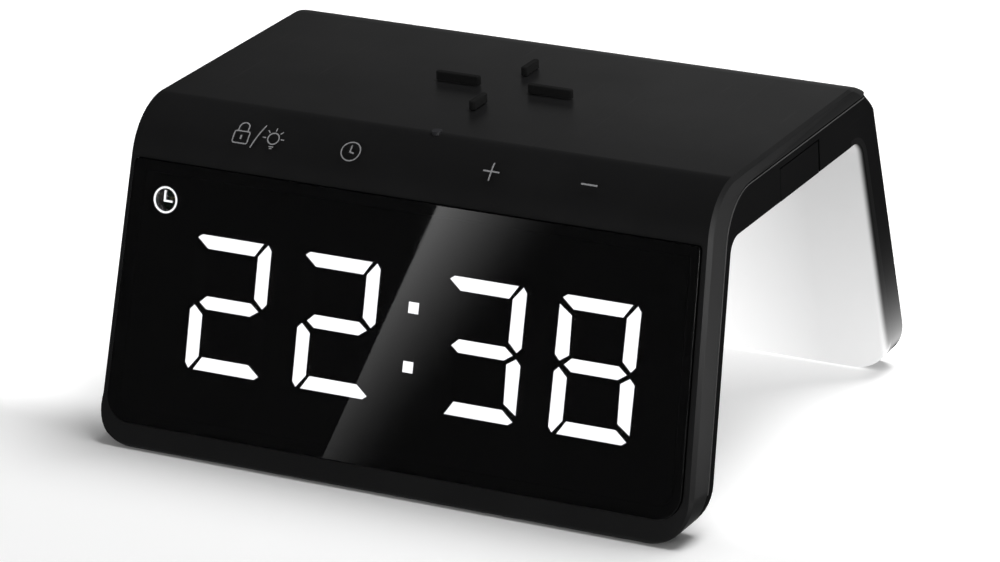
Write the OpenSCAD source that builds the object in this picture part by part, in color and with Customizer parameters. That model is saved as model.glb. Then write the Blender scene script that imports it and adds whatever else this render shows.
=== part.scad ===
// Digital alarm clock in one arch: a display on the front leg, a charging top with
// grip strips, a night light on the inner face of the rear leg, and a drawer for the
// backup cell at the right end of the slab.
// The housing is drawn with its front foot edge at y = 0 and its soles at z = 0, then
// set on its feet and centred over its base.

/* [Housing] */
// Width across the foot
base_w = 173; // [158:0.5:200]
// Height without feet and grip strips
body_h = 86.7; // [83:0.1:96]
// Depth from front foot edge to rear foot edge
body_d = 138.5; // [134:0.5:160]
// Lean of the front face from upright
front_lean = 14.8; // [13:0.1:17]
// Lean of the rear leg from upright
rear_lean = 13.7; // [12:0.1:16]
// Draft of each end face from upright
end_draft = 2; // [1.5:0.1:2.5]
// Thickness of the front leg, square to its face
front_leg_t = 11; // [10.8:0.1:13]
// Thickness of the top slab
slab_t = 15.2; // [14.8:0.1:18]
// Thickness of the rear leg, square to its back
rear_leg_t = 9.6; // [9:0.1:12]
// Outer radius of the front bend
front_bend_r = 17; // [15:0.5:19]
// Outer radius of the rear bend
rear_bend_r = 12; // [10:0.5:14]
// Radius of the front corner under the slab
arch_front_r = 5; // [3:0.5:8]
// Radius of the rear corner under the slab
arch_rear_r = 6; // [3:0.5:8]
// Rounding of the outer edge around each end face
edge_r = 2.6; // [1.5:0.1:3.5]
// Radius of the lower corners of both legs
foot_corner_r = 12; // [8:0.5:14]

/* [Walls and seam] */
// Wall of each end
side_wall = 2.2; // [1.8:0.1:2.8]
// Wall over the slab
top_wall = 2; // [1.6:0.1:2.4]
// Wall under the slab
under_wall = 1.8; // [1.4:0.1:2.2]
// Wall at the back of the front leg
back_wall = 1.6; // [1.2:0.1:1.8]
// Wall at the back of the rear leg
rear_wall = 2; // [1.6:0.1:2.4]
// Height of the closed sole of each leg
sole_h = 6; // [5:0.5:8]
// Depth of the seam behind the front face
seam_front = 7.4; // [7:0.1:7.8]
// Depth of the seam below the top
seam_top = 3.85; // [3.5:0.05:4.2]
// Radius of the seam at the front bend
seam_r = 16; // [14:0.5:18]
// Gap between the two shells along the seam
seam_gap = 0.3; // [0.2:0.05:0.4]

/* [Display] */
// Lower edge of the lens above the foot, along the face
lens_low = 6.4; // [5.5:0.1:8]
// Distance of the lens's upper edge from the front bend, along the face
lens_top_gap = 1.2; // [0.8:0.1:4]
// Frame left beside the lens
lens_margin = 3.6; // [3:0.1:5]
// Thickness of the lens
lens_t = 2; // [1.6:0.1:2.2]
// Radius of the lower lens corners
lens_low_r = 7; // [5:0.5:9]
// Radius of the upper lens corners
lens_high_r = 1.2; // [0.8:0.1:3]
// Clearance around the lens
lens_gap = 0.15; // [0.1:0.05:0.25]
// Width of the ledge that the lens is taped to
ledge_w = 3; // [2.5:0.1:3.6]
// Thickness of that ledge
ledge_t = 1.4; // [1.2:0.1:1.6]
// Thickness of the lens tape
tape_t = 0.2; // [0.1:0.05:0.3]
// Distance of the digits' upper edge from the lens's upper edge
digit_top_gap = 17.2; // [14:0.1:20]
// Distance of the last digit from the right edge of the display's window
digit_side_gap = 11.3; // [9:0.1:15]
// Lower edge of the digits, along the face
digit_low = 23; // [20:0.5:26]
// Gap between the digits of a pair
digit_gap = 9.1; // [8:0.1:12]
// Room for the colon between the two pairs
colon_room = 18.9; // [16:0.1:22]
// Display's middle, to the right of the housing's middle
display_x = 2.5; // [0:0.5:4]
// Depth of the segment housing
display_t = 4.5; // [4:0.1:4.6]
// Gap between the lens and the segment housing
display_gap = 0.3; // [0.2:0.05:0.5]
// Depth of a cast segment
segment_t = 1; // [0.6:0.1:1.5]
// Outer radius of the clock sign
sign_r = 3.5; // [2.5:0.1:4]
// Side of a colon dot
dot_w = 2.9; // [2.5:0.1:4]
// Distance of the colon to the right of the display's middle
colon_x = 0.7; // [0:0.1:1.5]

/* [Top] */
// Distance of the charging place behind the slab's middle
charge_back = 1.7; // [-2:0.1:4]
// Length of a strip that lies across the housing
wide_grip_l = 12.9; // [10:0.1:15]
// Distance of its near end from the middle of the cross
wide_grip_in = 6.9; // [5:0.1:9]
// Length of a strip that runs front to back
deep_grip_l = 8.2; // [7:0.1:12]
// Distance of its near end from the middle of the cross
deep_grip_in = 10.8; // [8:0.1:13]
// Width of a grip strip
grip_w = 1.8; // [1.4:0.1:2.4]
// Height of a grip strip above the top
grip_h = 1.8; // [1:0.1:2.2]
// Depth of the pocket that a strip is glued in
grip_seat = 0.5; // [0.3:0.1:0.8]
// Outer radius of the charging coil
coil_r = 24; // [20:0.5:26]
// Inner radius of the charging coil
coil_hole_r = 10; // [8:0.5:12]
// Thickness of the charging coil
coil_t = 1.2; // [0.8:0.1:1.4]
// Side of the ferrite under the coil
ferrite_w = 52; // [50:0.5:56]
// Thickness of the ferrite
ferrite_t = 1; // [0.6:0.1:1.2]
// Radius of the charging indicator
indicator_r = 1.3; // [1:0.1:1.6]

/* [Battery drawer] */
// Distance of the drawer's middle behind the slab's middle
drawer_back_off = 1.3; // [-2:0.1:4]
// Width of the drawer front
drawer_w = 24; // [23.4:0.1:26]
// Height of the drawer front
drawer_h = 8.6; // [8.2:0.1:9]
// Length of the drawer from its front
drawer_l = 26; // [24.5:0.1:28]
// Thickness of the drawer front
drawer_front_t = 2; // [1.6:0.1:2.4]
// Wall and floor of the tray
tray_wall = 1; // [0.8:0.1:1.2]
// Clearance around the drawer
drawer_gap = 0.35; // [0.3:0.05:0.5]
// Wall around the drawer bay
bay_wall = 1.2; // [1:0.1:1.4]
// Radius of the coin cell
cell_r = 10; // [9.8:0.1:10]
// Thickness of the coin cell
cell_t = 3.2; // [2.5:0.1:3.2]

/* [Electronics] */
// Thickness of each circuit board
board_t = 1; // [0.8:0.1:1.2]
// Distance of the main board from the front and rear edges under the slab
main_board_in = 15.5; // [14.5:0.1:20]
// Height of the posts under the main board
post_h = 2.5; // [2:0.1:3]
// Radius of the alarm sounder
sounder_r = 7; // [6:0.1:8]
// Height of the alarm sounder
sounder_h = 6; // [5:0.1:7]
// Distance of the alarm sounder from the left end wall
sounder_in = 23.3; // [15:0.1:30]
// Width of the power inlet
inlet_w = 9; // [8:0.1:10]
// Length of the power inlet
inlet_l = 13; // [12:0.1:14]
// Radius of the hole that the power plug enters
inlet_bore_r = 2.8; // [2.7:0.05:2.9]
// Radius of the pin in the power inlet
inlet_pin_r = 1; // [0.9:0.05:1.1]
// Depth of the hole in the power inlet
inlet_bore_l = 9.5; // [9:0.1:10]

/* [Night light] */
// Thickness of the opal panel
panel_t = 2.2; // [1.8:0.1:2.6]
// Length of the panel's lip under the slab
panel_lip = 2; // [1:0.1:3]
// Distance of the light board from each end of the foot
light_board_in = 16.5; // [14:0.1:24]
// Width of the light board
light_board_w = 14; // [10:0.5:18]
// Height of the light board's middle above the sole
light_board_z = 38; // [30:0.5:46]
// Number of lamps on the light board
lamp_count = 8; // [4:1:12]

/* [Feet and screws] */
// Length of a rubber foot
foot_l = 16; // [12:0.5:20]
// Width of a rubber foot
foot_w = 5; // [4:0.1:5.6]
// Depth of the pocket that a foot is glued in
foot_seat = 1; // [0.8:0.1:1.5]
// Height of a foot below the sole
foot_proud = 0.5; // [0.3:0.1:0.8]
// Distance of a foot's middle from the rounding of the leg's corner
foot_in = 16.5; // [10:0.5:24]
// Radius of a housing screw's shank
screw_r = 1.2; // [1:0.05:1.3]
// Radius of a housing screw's head
screw_head_r = 2.2; // [2:0.05:2.4]
// Height of a housing screw's head
screw_head_h = 1.2; // [1:0.05:1.3]
// Radius of a board screw's shank
board_screw_r = 0.9; // [0.8:0.05:1]
// Radius of a board screw's head
board_head_r = 1.6; // [1.4:0.05:1.8]
// Height of a board screw's head
board_head_h = 0.9; // [0.7:0.05:1]
// Wall of a screw boss
boss_wall = 1.4; // [1:0.05:1.6]

/* [Hidden] */
$fn = 96;
// How far a cut runs past what it cuts
overrun = 1;
// How far a rounding runs past the faces that it joins, so that they cross and don't
// only touch
blend = 0.02;
// Clearance of a screw in the piece that it passes through, and in its pilot bore
pass_gap = 0.2;
pilot_gap = 0.02;
// Depth of a board screw's thread in its boss
board_bite = 2.4;
// Depth of a housing screw's thread in its boss
screw_bite = 2.8;
// Small lamps and parts on the boards
led_l = 1.6;
led_w = 0.8;
led_h = 0.6;
lamp_w = 3;
lamp_h = 1.2;
chip_h = 1.2;
capacitor_r = 2.5;
capacitor_h = 4;
sound_hole_r = 0.8;
sound_ring_r = 3.4;
sound_hole_count = 6;
pad_w = 5;
pad_t = 0.2;
film_t = 0.3;
// Where the layers under the front bend start and end, as angles above the horizontal
layer_angles = [18, 64];
contact_t = 0.3;
contact_w = 4;
nail_slot_l = 8;
nail_slot_h = 1.2;
inlet_collar_wall = 1.2;
sign_line = 0.5;

bend_start = body_h - front_bend_r + front_bend_r * sin(front_lean);
lens_high = bend_start / cos(front_lean) - lens_top_gap;
digit_h = lens_high - digit_low - digit_top_gap;
ledge_back = lens_t + tape_t + ledge_t;
housing_front = lens_t + display_gap;
board_front = housing_front + display_t;
cover_in = front_leg_t - back_wall;
slab_under = body_h - slab_t;
slab_floor = slab_under + under_wall;
slab_ceiling = body_h - top_wall;
slab_front_y = front_y(slab_under, front_leg_t);
slab_rear_y = rear_y(slab_under, rear_leg_t);
slab_middle = (slab_front_y + slab_rear_y) / 2;
charge_y = slab_middle + charge_back;
drawer_y = slab_middle + drawer_back_off;
boss_r = screw_r + boss_wall;
board_boss_r = board_screw_r + boss_wall / 2;
window_low = lens_low + ledge_w;
window_high = lens_high - ledge_w;
window_margin = lens_margin + ledge_w;
digit_w = (face_half_w(lens_high) - window_margin - digit_side_gap - display_x
    - colon_room / 2 - digit_gap) / 2;
digit_pitch = digit_w + digit_gap;
pair_offset = (colon_room + digit_pitch + digit_w) / 2;
hollow_bend_r = front_bend_r - ledge_back + lens_t / 2;
drawer_top = slab_under + drawer_h;
tray_z = slab_floor + drawer_gap;
cell_z = tray_z + tray_wall;
tray_top = cell_z + cell_t;
drawer_back = half_w(slab_under) - drawer_l;
bay_back = drawer_back - drawer_gap;
tray_w = 2 * cell_r + 2 * drawer_gap + 2 * tray_wall;
sounder_x = side_wall + sounder_in + sounder_r - half_w(slab_under);
main_board_x = sounder_x + 2 * sounder_r;
main_board_l = bay_back - bay_wall - 2 * board_t - main_board_x;
main_board_d = slab_rear_y - slab_front_y - 2 * main_board_in;
main_board_z = slab_floor + post_h;
main_board_y = slab_front_y + main_board_in;
light_board_l = base_w - 2 * light_board_in;
foot_x = base_w / 2 - foot_corner_r - foot_in;
main_board_top = main_board_z + board_t;

// Shares of the face height at which the cover screws and the display screws sit
cover_screw_shares = [0.14, 0.88];
display_screw_shares = [0.36, 0.66];
// Shares of the width at which the touch pads sit
touch_pad_shares = [-0.3, -0.25, -0.12, 0.125, 0.29];
// Shares of the digit's width and height for the corners of its segments. The other
// three are these turned half a turn.
segment_a_shares = [[0.03, 0.974], [0.085, 1], [0.885, 1], [0.78, 0.9], [0.172, 0.9]];
segment_b_shares = [[0.946, 0.996], [0.992, 0.957], [0.992, 0.561], [0.938, 0.523],
    [0.826, 0.589], [0.826, 0.9]];
segment_c_shares = [[0.938, 0.477], [1, 0.436], [1, 0.075], [0.84, 0.145], [0.826, 0.43]];
segment_g_shares = [[0.124, 0.5], [0.212, 0.552], [0.788, 0.552], [0.893, 0.5],
    [0.788, 0.455], [0.217, 0.455]];
segment_names = ["a", "b", "c", "d", "e", "f", "g"];
// The digits of the shown time, as the segments that are lit
shown_segments = ["abged", "abged", "abgcd", "abcdefg"];
// Shares of the digit's height at which the colon dots sit
dot_shares = [0.289, 0.72];
// Place of the clock sign, as shares of the lens half width and of the face height
sign_place_shares = [-0.884, 0.868];
// Places of the power inlet's mouth and of its body's end, as shares of the rear bend
inlet_mouth_share = 0.8;
inlet_body_share = 0.2;
// Places and sizes of the chips, as shares of the main board
chip_place_shares = [[0.2, 0.25], [0.45, 0.3], [0.72, 0.22], [0.62, 0.7]];
chip_size_shares = [[0.1, 0.18], [0.14, 0.24], [0.08, 0.14], [0.12, 0.2]];
capacitor_place_shares = [[0.08, 0.62], [0.08, 0.85], [0.9, 0.12]];

// Points of the two slanted faces, at a height and at a depth below the surface
function front_y(z, depth) = z * tan(front_lean) + depth / cos(front_lean);
function rear_y(z, depth) = body_d - z * tan(rear_lean) - depth / cos(rear_lean);
function half_w(z) = base_w / 2 - z * tan(end_draft);
function face_half_w(v) = half_w(v * cos(front_lean));
function front_centre(top, depth, r) = [front_y(top - r, depth + r), top - r];
function rear_centre(top, depth, r) = [rear_y(top - r, depth + r), top - r];
function face_v(share) = share * lens_high;
function cover_boss_x(v) = face_half_w(v) - side_wall - boss_r + boss_wall / 4;
function display_boss_x(v) = face_half_w(v) - window_margin + board_boss_r + lens_gap;
function segment_points(shares) = [for (p = shares) [p[0] * digit_w, p[1] * digit_h]];
function digit_x(i) = display_x + (i < 2 ? -1 : 1) * pair_offset
    + (i % 2 - 0.5) * digit_pitch - digit_w / 2;

// Sets the housing on its feet, centred over its base
module place() {
    translate([0, -body_d / 2, foot_proud])
        children();
}

// A front-to-back section drawn across the housing's width
module along_x(l) {
    rotate([90, 0, 90])
        linear_extrude(l, center = true)
            children();
}

// A front view drawn through the housing's depth
module along_y() {
    translate([0, body_d + overrun, 0])
        rotate([90, 0, 0])
            linear_extrude(body_d + 2 * overrun)
                children();
}

// A front view on the slanted face, between two depths below it
module on_face(near, far) {
    rotate([-front_lean, 0, 0])
        translate([0, far, 0])
            rotate([90, 0, 0])
                linear_extrude(far - near)
                    children();
}

// The same on the back of the rear leg, its depths counted from that back
module on_rear(near, far) {
    translate([0, body_d, 0])
        rotate([rear_lean, 0, 0])
            translate([0, -near, 0])
                rotate([90, 0, 0])
                    linear_extrude(far - near)
                        children();
}

module both_ends() {
    children();
    mirror([1, 0, 0])
        children();
}

// Area between the two slanted lines and a level top, at given depths from them
module arch_section(front_d, top_d, rear_d, front_r, rear_r, floor_z) {
    top = body_h - top_d;
    fc = front_centre(top, front_d, front_r);
    rc = rear_centre(top, rear_d, rear_r);
    polygon([
        [front_y(floor_z, front_d), floor_z],
        fc + front_r * [-cos(front_lean), sin(front_lean)],
        [fc[0], top],
        [rc[0], top],
        rc + rear_r * [cos(rear_lean), sin(rear_lean)],
        [rear_y(floor_z, rear_d), floor_z]]);
    translate(fc)
        circle(front_r + blend);
    translate(rc)
        circle(rear_r + blend);
}

// Front view with drafted sides and rounded lower corners, inset from the outside
module front_outline(inset, r, floor_z) {
    top = body_h + overrun;
    x = half_w(floor_z + r) - (inset + r) / cos(end_draft);
    side = [x + r * cos(end_draft), floor_z + r + r * sin(end_draft)];
    top_x = half_w(top) - inset / cos(end_draft);
    polygon([[x, floor_z], side, [top_x, top], [-top_x, top], [-side[0], side[1]], [-x, floor_z]]);
    for (s = [-1, 1])
        translate([s * x, floor_z + r])
            circle(r + blend);
}

// Outline on the face between two heights, its sides inset from the drafted ends
module face_outline(low, high, margin, low_r, high_r) {
    low_x = face_half_w(low + low_r) - margin - low_r;
    high_x = face_half_w(high - high_r) - margin - high_r;
    right = [[low_x, low], [low_x + low_r, low + low_r], [high_x + high_r, high - high_r],
        [high_x, high]];
    left = [for (i = [len(right) - 1:-1:0]) [-right[i][0], right[i][1]]];
    polygon(concat(right, left));
    for (s = [-1, 1]) {
        translate([s * low_x, low + low_r])
            circle(low_r + blend);
        translate([s * high_x, high - high_r])
            circle(high_r + blend);
    }
}

// A closed end with a rounded rim, in the frame of the right end face
module rim_form() {
    depth = edge_r - 2 * blend;
    low = -2 * overrun;
    front_turn = front_bend_r - depth;
    rear_turn = rear_bend_r - depth;
    fc = front_centre(body_h, 0, front_bend_r);
    rc = rear_centre(body_h, 0, rear_bend_r);
    front_top = fc[1] + front_turn * sin(front_lean);
    rear_top = rc[1] + rear_turn * sin(rear_lean);
    translate([overrun, 0, 0])
        along_x(4 * edge_r)
            arch_section(depth, depth, depth, front_turn, rear_turn, low);
    translate([-depth, 0, 0]) {
        translate([0, front_y(low, depth), low])
            rotate([-front_lean, 0, 0])
                cylinder(r = edge_r, h = (front_top - low) / cos(front_lean));
        translate([0, fc[0], body_h - depth])
            rotate([-90, 0, 0])
                cylinder(r = edge_r, h = rc[0] - fc[0]);
        translate([0, rear_y(low, depth), low])
            rotate([rear_lean, 0, 0])
                cylinder(r = edge_r, h = (rear_top - low) / cos(rear_lean));
        rim_turn(fc, front_turn);
        rim_turn(rc, rear_turn);
    }
}

// The rim's round stretch about a bend's centre
module rim_turn(c, turn_r) {
    translate([0, c[0], c[1]])
        rotate([0, 90, 0])
            rotate_extrude()
                translate([turn_r, 0])
                    circle(edge_r + blend / 2);
}

// What rounding the rim takes off the right end. The end face leans, so its outline is
// higher than the section by a share of the height, and by the slope over the rounding.
module rim_cut() {
    rise = edge_r * tan(end_draft) + body_h * (1 / cos(end_draft) - 1);
    translate([base_w / 2, 0, 0])
        rotate([0, -end_draft, 0])
            difference() {
                translate([2 * blend - edge_r, -overrun, -overrun])
                    cube([edge_r + overrun, body_d + 2 * overrun, body_h + 3 * overrun]);
                translate([0, 0, rise])
                    rim_form();
            }
}

// The outside of the whole housing, with the space under the slab still filled
module outer_form() {
    difference() {
        intersection() {
            along_x(base_w)
                arch_section(0, 0, 0, front_bend_r, rear_bend_r, 0);
            along_y()
                front_outline(0, foot_corner_r, 0);
        }
        both_ends()
            rim_cut();
    }
}

// The space under the slab
module arch_space(inset) {
    along_x(base_w + 2 * overrun)
        arch_section(front_leg_t - inset, slab_t - inset, rear_leg_t - inset,
            arch_front_r + inset, arch_rear_r + inset, -overrun);
}

// Everything that lies inside the seam
module seam_space(inset) {
    along_x(base_w + 2 * overrun)
        arch_section(seam_front + inset, seam_top + inset, -rear_bend_r, seam_r - inset,
            rear_bend_r, -overrun);
}

// Section of the inner side of the walls around the space under the slab
module wall_section(gap) {
    arch_section(cover_in - gap, slab_t - under_wall - gap, rear_leg_t - panel_t - gap,
        arch_front_r + back_wall + gap, arch_rear_r + panel_t + gap, -overrun);
}

// The hollow inside both shells
module hollow() {
    intersection() {
        along_x(base_w)
            difference() {
                arch_section(ledge_back, top_wall, rear_wall, hollow_bend_r,
                    rear_bend_r - rear_wall, sole_h);
                wall_section(0);
            }
        along_y()
            front_outline(side_wall, foot_corner_r - side_wall, side_wall);
    }
}

// Places of the four cover screws on the face
module at_cover_screws() {
    for (s = [-1, 1])
        for (share = cover_screw_shares)
            let (v = face_v(share))
                translate([s * cover_boss_x(v), v])
                    children();
}

// Places of the four display board screws on the face
module at_display_screws() {
    for (s = [-1, 1])
        for (share = display_screw_shares)
            let (v = face_v(share))
                translate([s * display_boss_x(v), v])
                    children();
}

// Places of the two slab screws, near the rear bend
slab_screw_y = rear_centre(body_h, rear_wall, rear_bend_r - rear_wall)[0] - 3 * boss_r;
slab_screw_x = half_w(body_h) - side_wall - 2 * boss_r;
module at_slab_screws(z) {
    for (s = [-1, 1])
        translate([s * slab_screw_x, slab_screw_y, z])
            children();
}

// Places of the four main board screws
module at_main_screws(z) {
    edge = board_boss_r + board_t;
    for (x = [edge, main_board_l - edge])
        for (y = [edge, main_board_d - edge])
            translate([main_board_x + x, main_board_y + y, z])
                children();
}

// Middles of the front and rear soles
module at_feet(y) {
    for (s = [-1, 1])
        translate([s * foot_x, y, 0])
            children();
}

front_foot_y = front_y(0, seam_front / 2);
rear_foot_y = rear_y(0, (rear_leg_t - panel_t) / 2);

module foot_block(low) {
    translate([-foot_l / 2 + foot_w / 2, -foot_w / 2, low])
        cube([foot_l - foot_w, foot_w, foot_seat - low]);
    for (s = [-1, 1])
        translate([s * (foot_l - foot_w) / 2, 0, low])
            cylinder(r = foot_w / 2, h = foot_seat - low);
}

// A strip with round ends that runs along x from its near end
module grip_block(near, l, low, high) {
    translate([near + grip_w / 2, -grip_w / 2, low])
        cube([l - grip_w, grip_w, high - low]);
    for (x = [near + grip_w / 2, near + l - grip_w / 2])
        translate([x, 0, low])
            cylinder(r = grip_w / 2, h = high - low);
}

module wide_grips(low, high) {
    for (a = [0, 180])
        translate([0, charge_y, body_h])
            rotate([0, 0, a])
                grip_block(wide_grip_in, wide_grip_l, low, high);
}

module deep_grips(low, high) {
    for (a = [90, -90])
        translate([0, charge_y, body_h])
            rotate([0, 0, a])
                grip_block(deep_grip_in, deep_grip_l, low, high);
}

indicator_y = front_centre(body_h, 0, front_bend_r)[0] - indicator_r;
collar_r = inlet_bore_r + inlet_collar_wall;
inlet_z = slab_floor + collar_r + pass_gap;
inlet_h = slab_ceiling - coil_t - ferrite_t - slab_floor - 2 * pass_gap;
// The collar's mouth lies in the rear bend, and the inlet's body in front of it
bend_y = rear_centre(body_h, 0, rear_bend_r)[0];
inlet_face_y = bend_y + inlet_mouth_share * rear_bend_r;
inlet_body_end = bend_y + inlet_body_share * rear_bend_r;

// The drawer's way through the end wall and its bay, from the drawer's size
module bay_space() {
    gap_w = drawer_w + 2 * drawer_gap;
    tray_gap_w = tray_w + 2 * drawer_gap;
    translate([bay_back, drawer_y - tray_gap_w / 2, slab_floor])
        cube([base_w / 2 - bay_back + overrun, tray_gap_w,
            drawer_top + drawer_gap - slab_floor]);
    translate([drawer_front_x() - drawer_gap, drawer_y - gap_w / 2, slab_under - overrun])
        cube([base_w / 2 - drawer_front_x() + drawer_gap + overrun, gap_w,
            drawer_top + drawer_gap - slab_under + overrun]);
}

function drawer_front_x() = half_w(drawer_top) - drawer_front_t;

// Walls that stand around the bay inside the slab
module bay_walls() {
    wall_w = drawer_w + 2 * drawer_gap + 2 * bay_wall;
    translate([bay_back - bay_wall, drawer_y - wall_w / 2, slab_floor - under_wall / 2])
        cube([half_w(drawer_top) - side_wall / 2 - bay_back + bay_wall, wall_w,
            drawer_top + drawer_gap + bay_wall - slab_floor + under_wall / 2]);
}

module upper_shell() {
    color("dimgray") place() difference() {
        union() {
            difference() {
                outer_form();
                seam_space(0);
                hollow();
            }
            on_face(ledge_back - ledge_t / 2, seam_front)
                at_cover_screws()
                    circle(boss_r);
            on_face(ledge_back - ledge_t / 2, board_front)
                at_display_screws()
                    circle(board_boss_r);
            at_slab_screws(body_h - seam_top)
                cylinder(r = boss_r, h = seam_top - top_wall / 2);
        }
        on_face(-overrun, lens_t + tape_t)
            face_outline(lens_low - lens_gap, lens_high + lens_gap, lens_margin - lens_gap,
                lens_low_r, lens_high_r);
        on_face(-overrun, ledge_back + overrun)
            face_outline(window_low, window_high, window_margin, lens_low_r - ledge_w,
                lens_high_r);
        on_face(seam_front - screw_bite - overrun / 2, seam_front + overrun)
            at_cover_screws()
                circle(screw_r + pilot_gap);
        on_face(board_front - board_bite - overrun / 2, board_front + overrun)
            at_display_screws()
                circle(board_screw_r + pilot_gap);
        at_slab_screws(body_h - seam_top - overrun)
            cylinder(r = screw_r + pilot_gap, h = screw_bite + overrun);
        wide_grips(-grip_seat, overrun);
        deep_grips(-grip_seat, overrun);
        translate([0, indicator_y, slab_ceiling - overrun])
            cylinder(r = indicator_r, h = top_wall + 2 * overrun);
        at_feet(front_foot_y)
            foot_block(-overrun);
    }
}

module lower_shell() {
    color([0.13, 0.13, 0.14]) place() difference() {
        union() {
            difference() {
                intersection() {
                    outer_form();
                    seam_space(seam_gap);
                }
                arch_space(0);
                hollow();
            }
            intersection() {
                union() {
                    bay_walls();
                    at_slab_screws(slab_floor - under_wall / 2)
                        cylinder(r = boss_r, h = slab_t);
                    at_main_screws(slab_floor - under_wall / 2)
                        cylinder(r = board_boss_r, h = post_h + under_wall / 2);
                    on_face(seam_front, cover_in + back_wall / 2)
                        at_cover_screws()
                            circle(boss_r);
                }
                seam_space(seam_gap);
            }
        }
        bay_space();
        along_x(base_w + 2 * overrun)
            panel_section(lens_gap);
        on_face(seam_front, front_leg_t + overrun)
            at_cover_screws()
                circle(screw_r + pass_gap);
        on_face(front_leg_t - screw_head_h, front_leg_t + overrun)
            at_cover_screws()
                circle(screw_head_r + pass_gap);
        at_slab_screws(slab_under - overrun) {
            cylinder(r = screw_r + pass_gap, h = slab_t);
            cylinder(r = screw_head_r + pass_gap, h = screw_head_h + overrun);
        }
        at_main_screws(main_board_z - board_bite)
            cylinder(r = board_screw_r + pilot_gap, h = board_bite + overrun);
        translate([0, inlet_body_end, inlet_z])
            rotate([-90, 0, 0])
                cylinder(r = collar_r + lens_gap, h = rear_bend_r);
        at_sound_holes()
            cylinder(r = sound_hole_r, h = under_wall + 2 * overrun);
        at_feet(rear_foot_y)
            foot_block(-overrun);
    }
}

// Section of what lies within the walls around the space under the slab, from the opal
// panel's front edge back
module panel_section(gap) {
    start = rear_centre(slab_under, rear_leg_t, arch_rear_r)[0] - panel_lip - gap;
    difference() {
        wall_section(gap);
        translate([-body_d, -2 * overrun])
            square([body_d + start, body_h]);
    }
}

module display_lens() {
    color([0.03, 0.03, 0.035]) place()
        on_face(0, lens_t)
            face_outline(lens_low, lens_high, lens_margin, lens_low_r, lens_high_r);
}

module lens_tape() {
    inner_w = ledge_w - lens_gap;
    color("gray") place()
        on_face(lens_t, lens_t + tape_t)
            difference() {
                face_outline(lens_low, lens_high, lens_margin, lens_low_r, lens_high_r);
                face_outline(lens_low + inner_w, lens_high - inner_w, lens_margin + inner_w,
                    lens_low_r - inner_w, lens_high_r);
            }
}

// One segment of a digit, as a flat shape
module segment_shape(name) {
    turned = name == "d" || name == "e" || name == "f";
    translate(turned ? [digit_w, digit_h] : [0, 0])
        rotate(turned ? 180 : 0)
            polygon(segment_points(
                name == "a" || name == "d" ? segment_a_shares
                : name == "b" || name == "e" ? segment_b_shares
                : name == "c" || name == "f" ? segment_c_shares
                : segment_g_shares));
}

function is_lit(i, name) = len(search(name, shown_segments[i])) > 0;

// The segments of all four digits that are lit, or those that are dark
module digit_shapes(lit) {
    for (i = [0:len(shown_segments) - 1])
        for (name = segment_names)
            if (is_lit(i, name) == lit)
                translate([digit_x(i), digit_low])
                    segment_shape(name);
}

module colon_shapes() {
    for (share = dot_shares)
        translate([display_x + colon_x, digit_low + share * digit_h])
            square(dot_w, center = true);
}

sign_place = [sign_place_shares[0] * (face_half_w(lens_high) - lens_margin),
    sign_place_shares[1] * lens_high];

// The clock sign: a ring with two hands
module sign_shapes() {
    translate(sign_place) {
        difference() {
            circle(sign_r);
            circle(sign_r - sign_line);
        }
        translate([-sign_line, -sign_line])
            square([sign_line, sign_r - sign_line]);
        translate([-sign_line, -sign_line])
            square([sign_r - 2 * sign_line, sign_line]);
    }
}

module segment_housing() {
    color("white") place() difference() {
        on_face(housing_front, board_front)
            face_outline(window_low + display_gap, window_high - display_gap,
                window_margin + display_gap, lens_low_r - ledge_w, lens_high_r);
        on_face(housing_front - overrun, board_front + overrun) {
            digit_shapes(true);
            digit_shapes(false);
            colon_shapes();
            translate(sign_place)
                circle(sign_r);
        }
    }
}

module lit_segments() {
    color([1, 1, 0.97]) place()
        on_face(housing_front, housing_front + segment_t) {
            digit_shapes(true);
            colon_shapes();
            sign_shapes();
        }
}

module unlit_segments() {
    color([0.3, 0.3, 0.32]) place()
        on_face(housing_front, housing_front + segment_t)
            digit_shapes(false);
}

module display_board() {
    margin = window_margin - 2 * board_boss_r - lens_gap;
    color("darkgreen") place()
        on_face(board_front, board_front + board_t)
            difference() {
                face_outline(window_low, window_high, margin, lens_high_r, lens_high_r);
                at_cover_screws()
                    circle(boss_r + display_gap);
                at_display_screws()
                    circle(board_screw_r + pass_gap);
            }
}

// Middle of a segment, as the mean of its corners
function middle(points) = [for (k = [0, 1]) [for (p = points) p[k]] * [for (p = points) 1]
    / len(points)];
function segment_middle(name) =
    name == "a" ? middle(segment_points(segment_a_shares))
    : name == "b" ? middle(segment_points(segment_b_shares))
    : name == "c" ? middle(segment_points(segment_c_shares))
    : name == "g" ? middle(segment_points(segment_g_shares))
    : [digit_w, digit_h] - segment_middle(name == "d" ? "a" : name == "e" ? "b" : "c");

module display_leds() {
    color("gold") place()
        on_face(board_front - led_h, board_front) {
            for (i = [0:len(shown_segments) - 1])
                for (name = segment_names)
                    translate([digit_x(i), digit_low] + segment_middle(name))
                        square([led_l, led_w], center = true);
            for (share = dot_shares)
                translate([display_x + colon_x, digit_low + share * digit_h])
                    square([led_l, led_w], center = true);
            translate(sign_place)
                square([led_l, led_w], center = true);
        }
}

// A layer under the front bend, between two depths below its inner surface
module bend_layer(l, near, far) {
    reach = 2 * hollow_bend_r;
    along_x(l)
        translate(front_centre(slab_ceiling, ledge_back, hollow_bend_r))
            intersection() {
                difference() {
                    circle(hollow_bend_r - near);
                    circle(hollow_bend_r - far);
                }
                polygon([[0, 0], for (a = layer_angles) reach * [-cos(a), sin(a)]]);
            }
}

module touch_film() {
    color("orange") place()
        bend_layer(2 * touch_pad_shares[4] * base_w + 4 * pad_w, pad_t, pad_t + film_t);
}

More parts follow.
